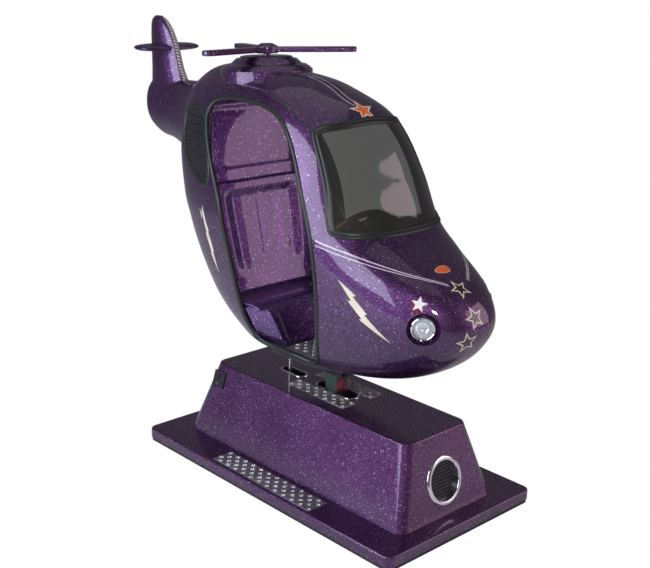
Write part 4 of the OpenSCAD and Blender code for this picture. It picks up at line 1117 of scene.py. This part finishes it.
# %% Rotor and its fairing
ROTOR = Matrix.Translation((0, 0.375, 1.442)) @ Matrix.Rotation(math.radians(-3), 4, "X")
hub = turned("hub", [(0.0, 0.021), (0.020, 0.0205), (0.026, 0.017), (0.034, 0.013), (0.039, 0.010), (0.040, 0.005),
                     (0.040, -0.010), (0.037, -0.013), (0.012, -0.0135), (0.012, -0.037), (0.0, -0.037)], ROTOR)
blades = []
for angle in (-51, 69, 189):
    blade = block("blade", (0.028, -0.023, -0.009), (0.310, 0.023, 0.009))
    bevel_edges(blade, lambda a, b: a.x > 0.3 and b.x > 0.3 and abs(a.z - b.z) > 0.005, 0.0225, 10)
    modify(blade, "BEVEL", width=0.0045, segments=3, limit_method="ANGLE")
    blade.matrix_world = ROTOR @ Matrix.Rotation(math.radians(angle), 4, "Z")
    blades.append(soften(settle(blade)))
rotor_piece = join([hub] + blades, "rotor_moulding")
wear(rotor_piece, flake, "rotor", ["rotor"])
FAIRING = Matrix.Translation((0, 0.375, 1.373)) @ Matrix.Rotation(math.radians(-3), 4, "X")
fairing = turned("mast_moulding", [(0.0121, 0.048), (0.080, 0.048), (0.088, 0.0465), (0.091, 0.043), (0.094, 0.040),
                                   (0.104, 0.0390), (0.110, 0.034), (0.124, 0.0215), (0.132, 0.0205), (0.138, 0.0190),
                                   (0.150, 0.0110), (0.160, 0.0015), (0.160, 0.0), (0.0121, 0.0)],
                 FAIRING, 96)
# The skirt follows the roof: each vertex of the lowest outer ring drops onto the skin under it.
up_axis, middle = FAIRING.to_3x3() @ Vector((0, 0, 1)), FAIRING.translation
for v in fairing.data.vertices:
    away = v.co - middle
    level = away.dot(up_axis)
    if level < 0.0005 and (away - up_axis * level).length > 0.15:
        spot = skin.ray_cast(v.co + Vector((0, 0, 0.05)), Vector((0, 0, -1)), 0.2)[0]
        if spot and spot.z < v.co.z:
            v.co.z = spot.z - 0.001
wear(fairing, flake, "rocker", ["mast_fairing"])

# %% [markdown]
# ## Decals
# Stars, bolts and pinstripes are cut vinyl. Each is a flat outline turned to face along the skin's
# normal, subdivided, and laid on the skin with a hair's thickness.

# %% Decals


def skin_spot(p):
    spot, normal, _, _ = skin.find_nearest(Vector(p))
    return spot, normal


def laid(piece, finish, lift, onto=lambda p: p):
    """Lays a subdivided outline on the skin, with a hair's thickness."""
    bpy.ops.object.mode_set(mode="OBJECT")
    for v in piece.data.vertices:
        p, n = skin_spot(onto(v.co))
        v.co = p + n * lift
    modify(piece, "SOLIDIFY", thickness=0.0003, offset=1)
    outwards(piece, 0)
    return wear(soften(piece), finish, "rocker")


def sticker(name, centre, outline, finish, lift=0.0004):
    """A flat outline, in metres round its centre, laid on the skin."""
    spot, normal = skin_spot(centre)
    upward = Vector((0, 0, 1))
    rise_ = (upward - normal * upward.dot(normal)).normalized()
    side_ = rise_.cross(normal)
    piece = filled(name, [spot + side_ * a + rise_ * b for a, b in outline])
    bpy.ops.mesh.poke()
    bpy.ops.mesh.subdivide(number_cuts=4)
    return laid(piece, finish, lift)


def side_sticker(name, outline, side, finish, lift=0.0005):
    """An outline given as (y, z) on the cabin's side."""
    piece = filled(name, [(0, y, z) for y, z in outline])
    bpy.ops.mesh.quads_convert_to_tris()
    bpy.ops.mesh.subdivide(number_cuts=5)
    return laid(piece, finish, lift, lambda p: side_point(p.y, p.z, side))


def star(size, waist=0.42, turn=0.0, points=5):
    out = []
    for k in range(2 * points):
        r = size if k % 2 == 0 else size * waist
        a = math.radians(90 + turn) + math.pi * k / points
        out.append((r * math.cos(a), r * math.sin(a)))
    return out


def ribbon(name, path, width, finish, lift=0.0005):
    """A narrow strip through points on the skin."""
    dense = [Vector(along(path, t * (len(path) - 1) / 60)) for t in range(61)]
    spots = [skin_spot(p) for p in dense]

    def place(u, v):
        i = round(v * 60)
        p, n = spots[i]
        t = (spots[min(i + 1, 60)][0] - spots[max(i - 1, 0)][0]).normalized()
        return p + n * lift + n.cross(t) * (u - 0.5) * width

    piece = sheet(name, 1, 60, place, 0.0003, 1)
    return wear(soften(piece), finish, "rocker")


HANDS = ((-1, "right"), (1, "left"))
ROOF_STAR, NOSE_DROP = (0.006, -0.093, 1.290), (0.0, -0.472, 0.851)
NOSE_STARS = ((-0.016, -0.551, 0.810), (-0.023, -0.621, 0.737), (-0.053, -0.621, 0.665))
ROOF_STRIPE = ((0.0, 0.150, 1.385), (-0.001, 0.055, 1.364), (-0.012, -0.032, 1.326), (0.0, -0.070, 1.300))
SIDE_STRIPE = ((-0.264, -0.170, 0.920), (-0.248, -0.222, 0.908), (-0.196, -0.344, 0.879), (-0.128, -0.447, 0.850),
               (-0.045, -0.527, 0.822))
sticker("roof_star_edge", ROOF_STAR, star(0.053), CREAM)
sticker("roof_star", ROOF_STAR, star(0.036), ORANGE, 0.0008)
for k, spot in enumerate(NOSE_STARS):
    sticker("nose_star_edge_%d" % k, spot, star(0.040, turn=14), CREAM)
    sticker("nose_star_%d" % k, spot, star(0.027, turn=14), INK, 0.0008)
for side, hand in HANDS:
    sticker("lamp_star_shadow_" + hand, (side * 0.160, -0.511, 0.773), star(0.031, turn=-8), WINE)
    sticker("lamp_star_" + hand, (side * 0.157, -0.514, 0.780), star(0.026, turn=-8), WHITE, 0.0008)
drop = [(0.030 * math.cos(a) * (1 - 0.35 * math.cos(a)), 0.015 * math.sin(a))
        for a in (2 * math.pi * k / 20 for k in range(20))]
sticker("nose_drop_edge", NOSE_DROP, [(a * 1.06, b * 1.10) for a, b in drop], CREAM)
sticker("nose_drop", NOSE_DROP, drop, ORANGE, 0.0008)
for k, (shift, finish) in enumerate(((-0.012, PALE), (0.0, INK), (0.012, PALE))):
    ribbon("roof_stripe_%d" % k, tuple((x + shift, y, z) for x, y, z in ROOF_STRIPE), 0.0035, finish)
for k, lower in enumerate((0.0, 0.014)):
    for side, hand in HANDS:
        path = tuple((-side * x, y, z - lower) for x, y, z in SIDE_STRIPE)
        ribbon("side_stripe_%s_%d" % (hand, k), path, 0.004 - 0.001 * k, PALE)
NOSE_BOLT = ((-0.262, 0.815), (-0.312, 0.757), (-0.300, 0.754), (-0.350, 0.706), (-0.340, 0.703), (-0.443, 0.645),
             (-0.359, 0.721), (-0.369, 0.724), (-0.317, 0.771), (-0.328, 0.775))
REAR_BOLT = ((0.404, 0.918), (0.391, 0.878), (0.386, 0.908), (0.378, 0.868), (0.366, 0.838), (0.374, 0.834),
             (0.347, 0.768), (0.353, 0.766), (0.311, 0.700), (0.336, 0.774), (0.330, 0.778), (0.356, 0.842),
             (0.350, 0.846), (0.366, 0.876), (0.383, 0.930), (0.390, 0.896))
for side, hand in HANDS:
    side_sticker("nose_bolt_" + hand, NOSE_BOLT, side, CREAM)
    side_sticker("rear_bolt_" + hand, REAR_BOLT, side, CREAM)


def fin_band(u, v):
    p = fin_place(0.75 + (u - 0.5) * 0.10, 0.12 + 0.78 * v)
    return p + Vector((math.copysign(min(0.0006, abs(p.x)), p.x), -0.0009, 0))


band_ink = striped("vinyl_fin_bars", (0.62, 0.57, 0.56), (0.012, 0.008, 0.014), 40.0)
wear(soften(sheet("fin_edge_band", 8, 90, fin_band, 0.0003, 1)), band_ink, "rocker")
print("decals laid")

# %% [markdown]
# ## Light
# Daylight comes from the pilot's right through a wide window, a small lamp near the viewer makes
# the tilted flakes glint, and a weak warm light from the other side opens the shadows. The sparse
# bright cells in the gelcoat are painted glints, which no lamp makes.

# %% Floor and light


def white_to_camera(tree, lit, glow, end):
    """Camera rays see the glow, and all other rays the lit surface."""
    path = node(tree, "LightPath")
    chooser = node(tree, "MixShader")
    link(tree, path.outputs["Is Camera Ray"], chooser.inputs["Fac"])
    link(tree, lit.outputs[0], chooser.inputs[1])
    link(tree, glow.outputs[0], chooser.inputs[2])
    link(tree, chooser.outputs[0], end.inputs["Surface"])


bpy.ops.mesh.primitive_plane_add(size=14, location=(0, 0, 0))
floor = named("studio_floor")
settle(floor)
paper, paper_tree, paper_shader = fresh("studio_floor")
paper_shader.inputs["Base Color"].default_value = (0.80, 0.80, 0.80, 1)
paper_shader.inputs["Roughness"].default_value = 0.7
paper_glow = node(paper_tree, "Emission", Color=(1, 1, 1, 1), Strength=1.0)
paper_end = [n for n in paper_tree.nodes if n.type == "OUTPUT_MATERIAL"][0]
white_to_camera(paper_tree, paper_shader, paper_glow, paper_end)
wear(floor, paper)
floor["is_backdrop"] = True


def lamp(name, place, aim, size, watts, colour):
    bpy.ops.object.light_add(type="AREA", location=place)
    light = bpy.context.object
    light.name = name
    light.data.shape = "RECTANGLE"
    light.data.size, light.data.size_y = size
    light.data.energy = watts
    light.data.color = colour
    light.rotation_euler = (Vector(place) - Vector(aim)).to_track_quat("Z", "Y").to_euler()
    return light


lamp("window", (-3.4, 0.6, 2.2), (0, 0.1, 0.8), (3.2, 3.0), 150, (0.82, 0.88, 1.0))
lamp("viewer_lamp", (-2.2, -2.9, 2.5), (0, 0, 0.9), (0.30, 0.30), 38, (1.0, 0.97, 0.95))
lamp("warm_fill", (2.4, -2.8, 1.6), (0, -0.1, 0.7), (2.2, 2.4), 34, (1.0, 0.74, 0.82))
lamp("ceiling", (0.2, 0.4, 4.2), (0, 0, 0), (3.6, 3.6), 14, (1, 1, 1))

world = bpy.data.worlds.new("studio")
bpy.context.scene.world = world
world.use_nodes = True
air = world.node_tree
sky = air.nodes["Background"]
sky.inputs["Color"].default_value = (0.13, 0.12, 0.14, 1)
sky.inputs["Strength"].default_value = 1.0
white = node(air, "Background", Color=(1, 1, 1, 1), Strength=1.0)
white_to_camera(air, sky, white, air.nodes["World Output"])
bpy.context.scene.view_settings.view_transform = "Standard"

# %% [markdown]
# ## Sizes
# The box round every shown part, the floor left out, is printed. The finished model
# must stay inside the CAD box.

# %% Print the box round the finished model
low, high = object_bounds()
print("visual box:", [round(v, 3) for v in low], [round(v, 3) for v in high])
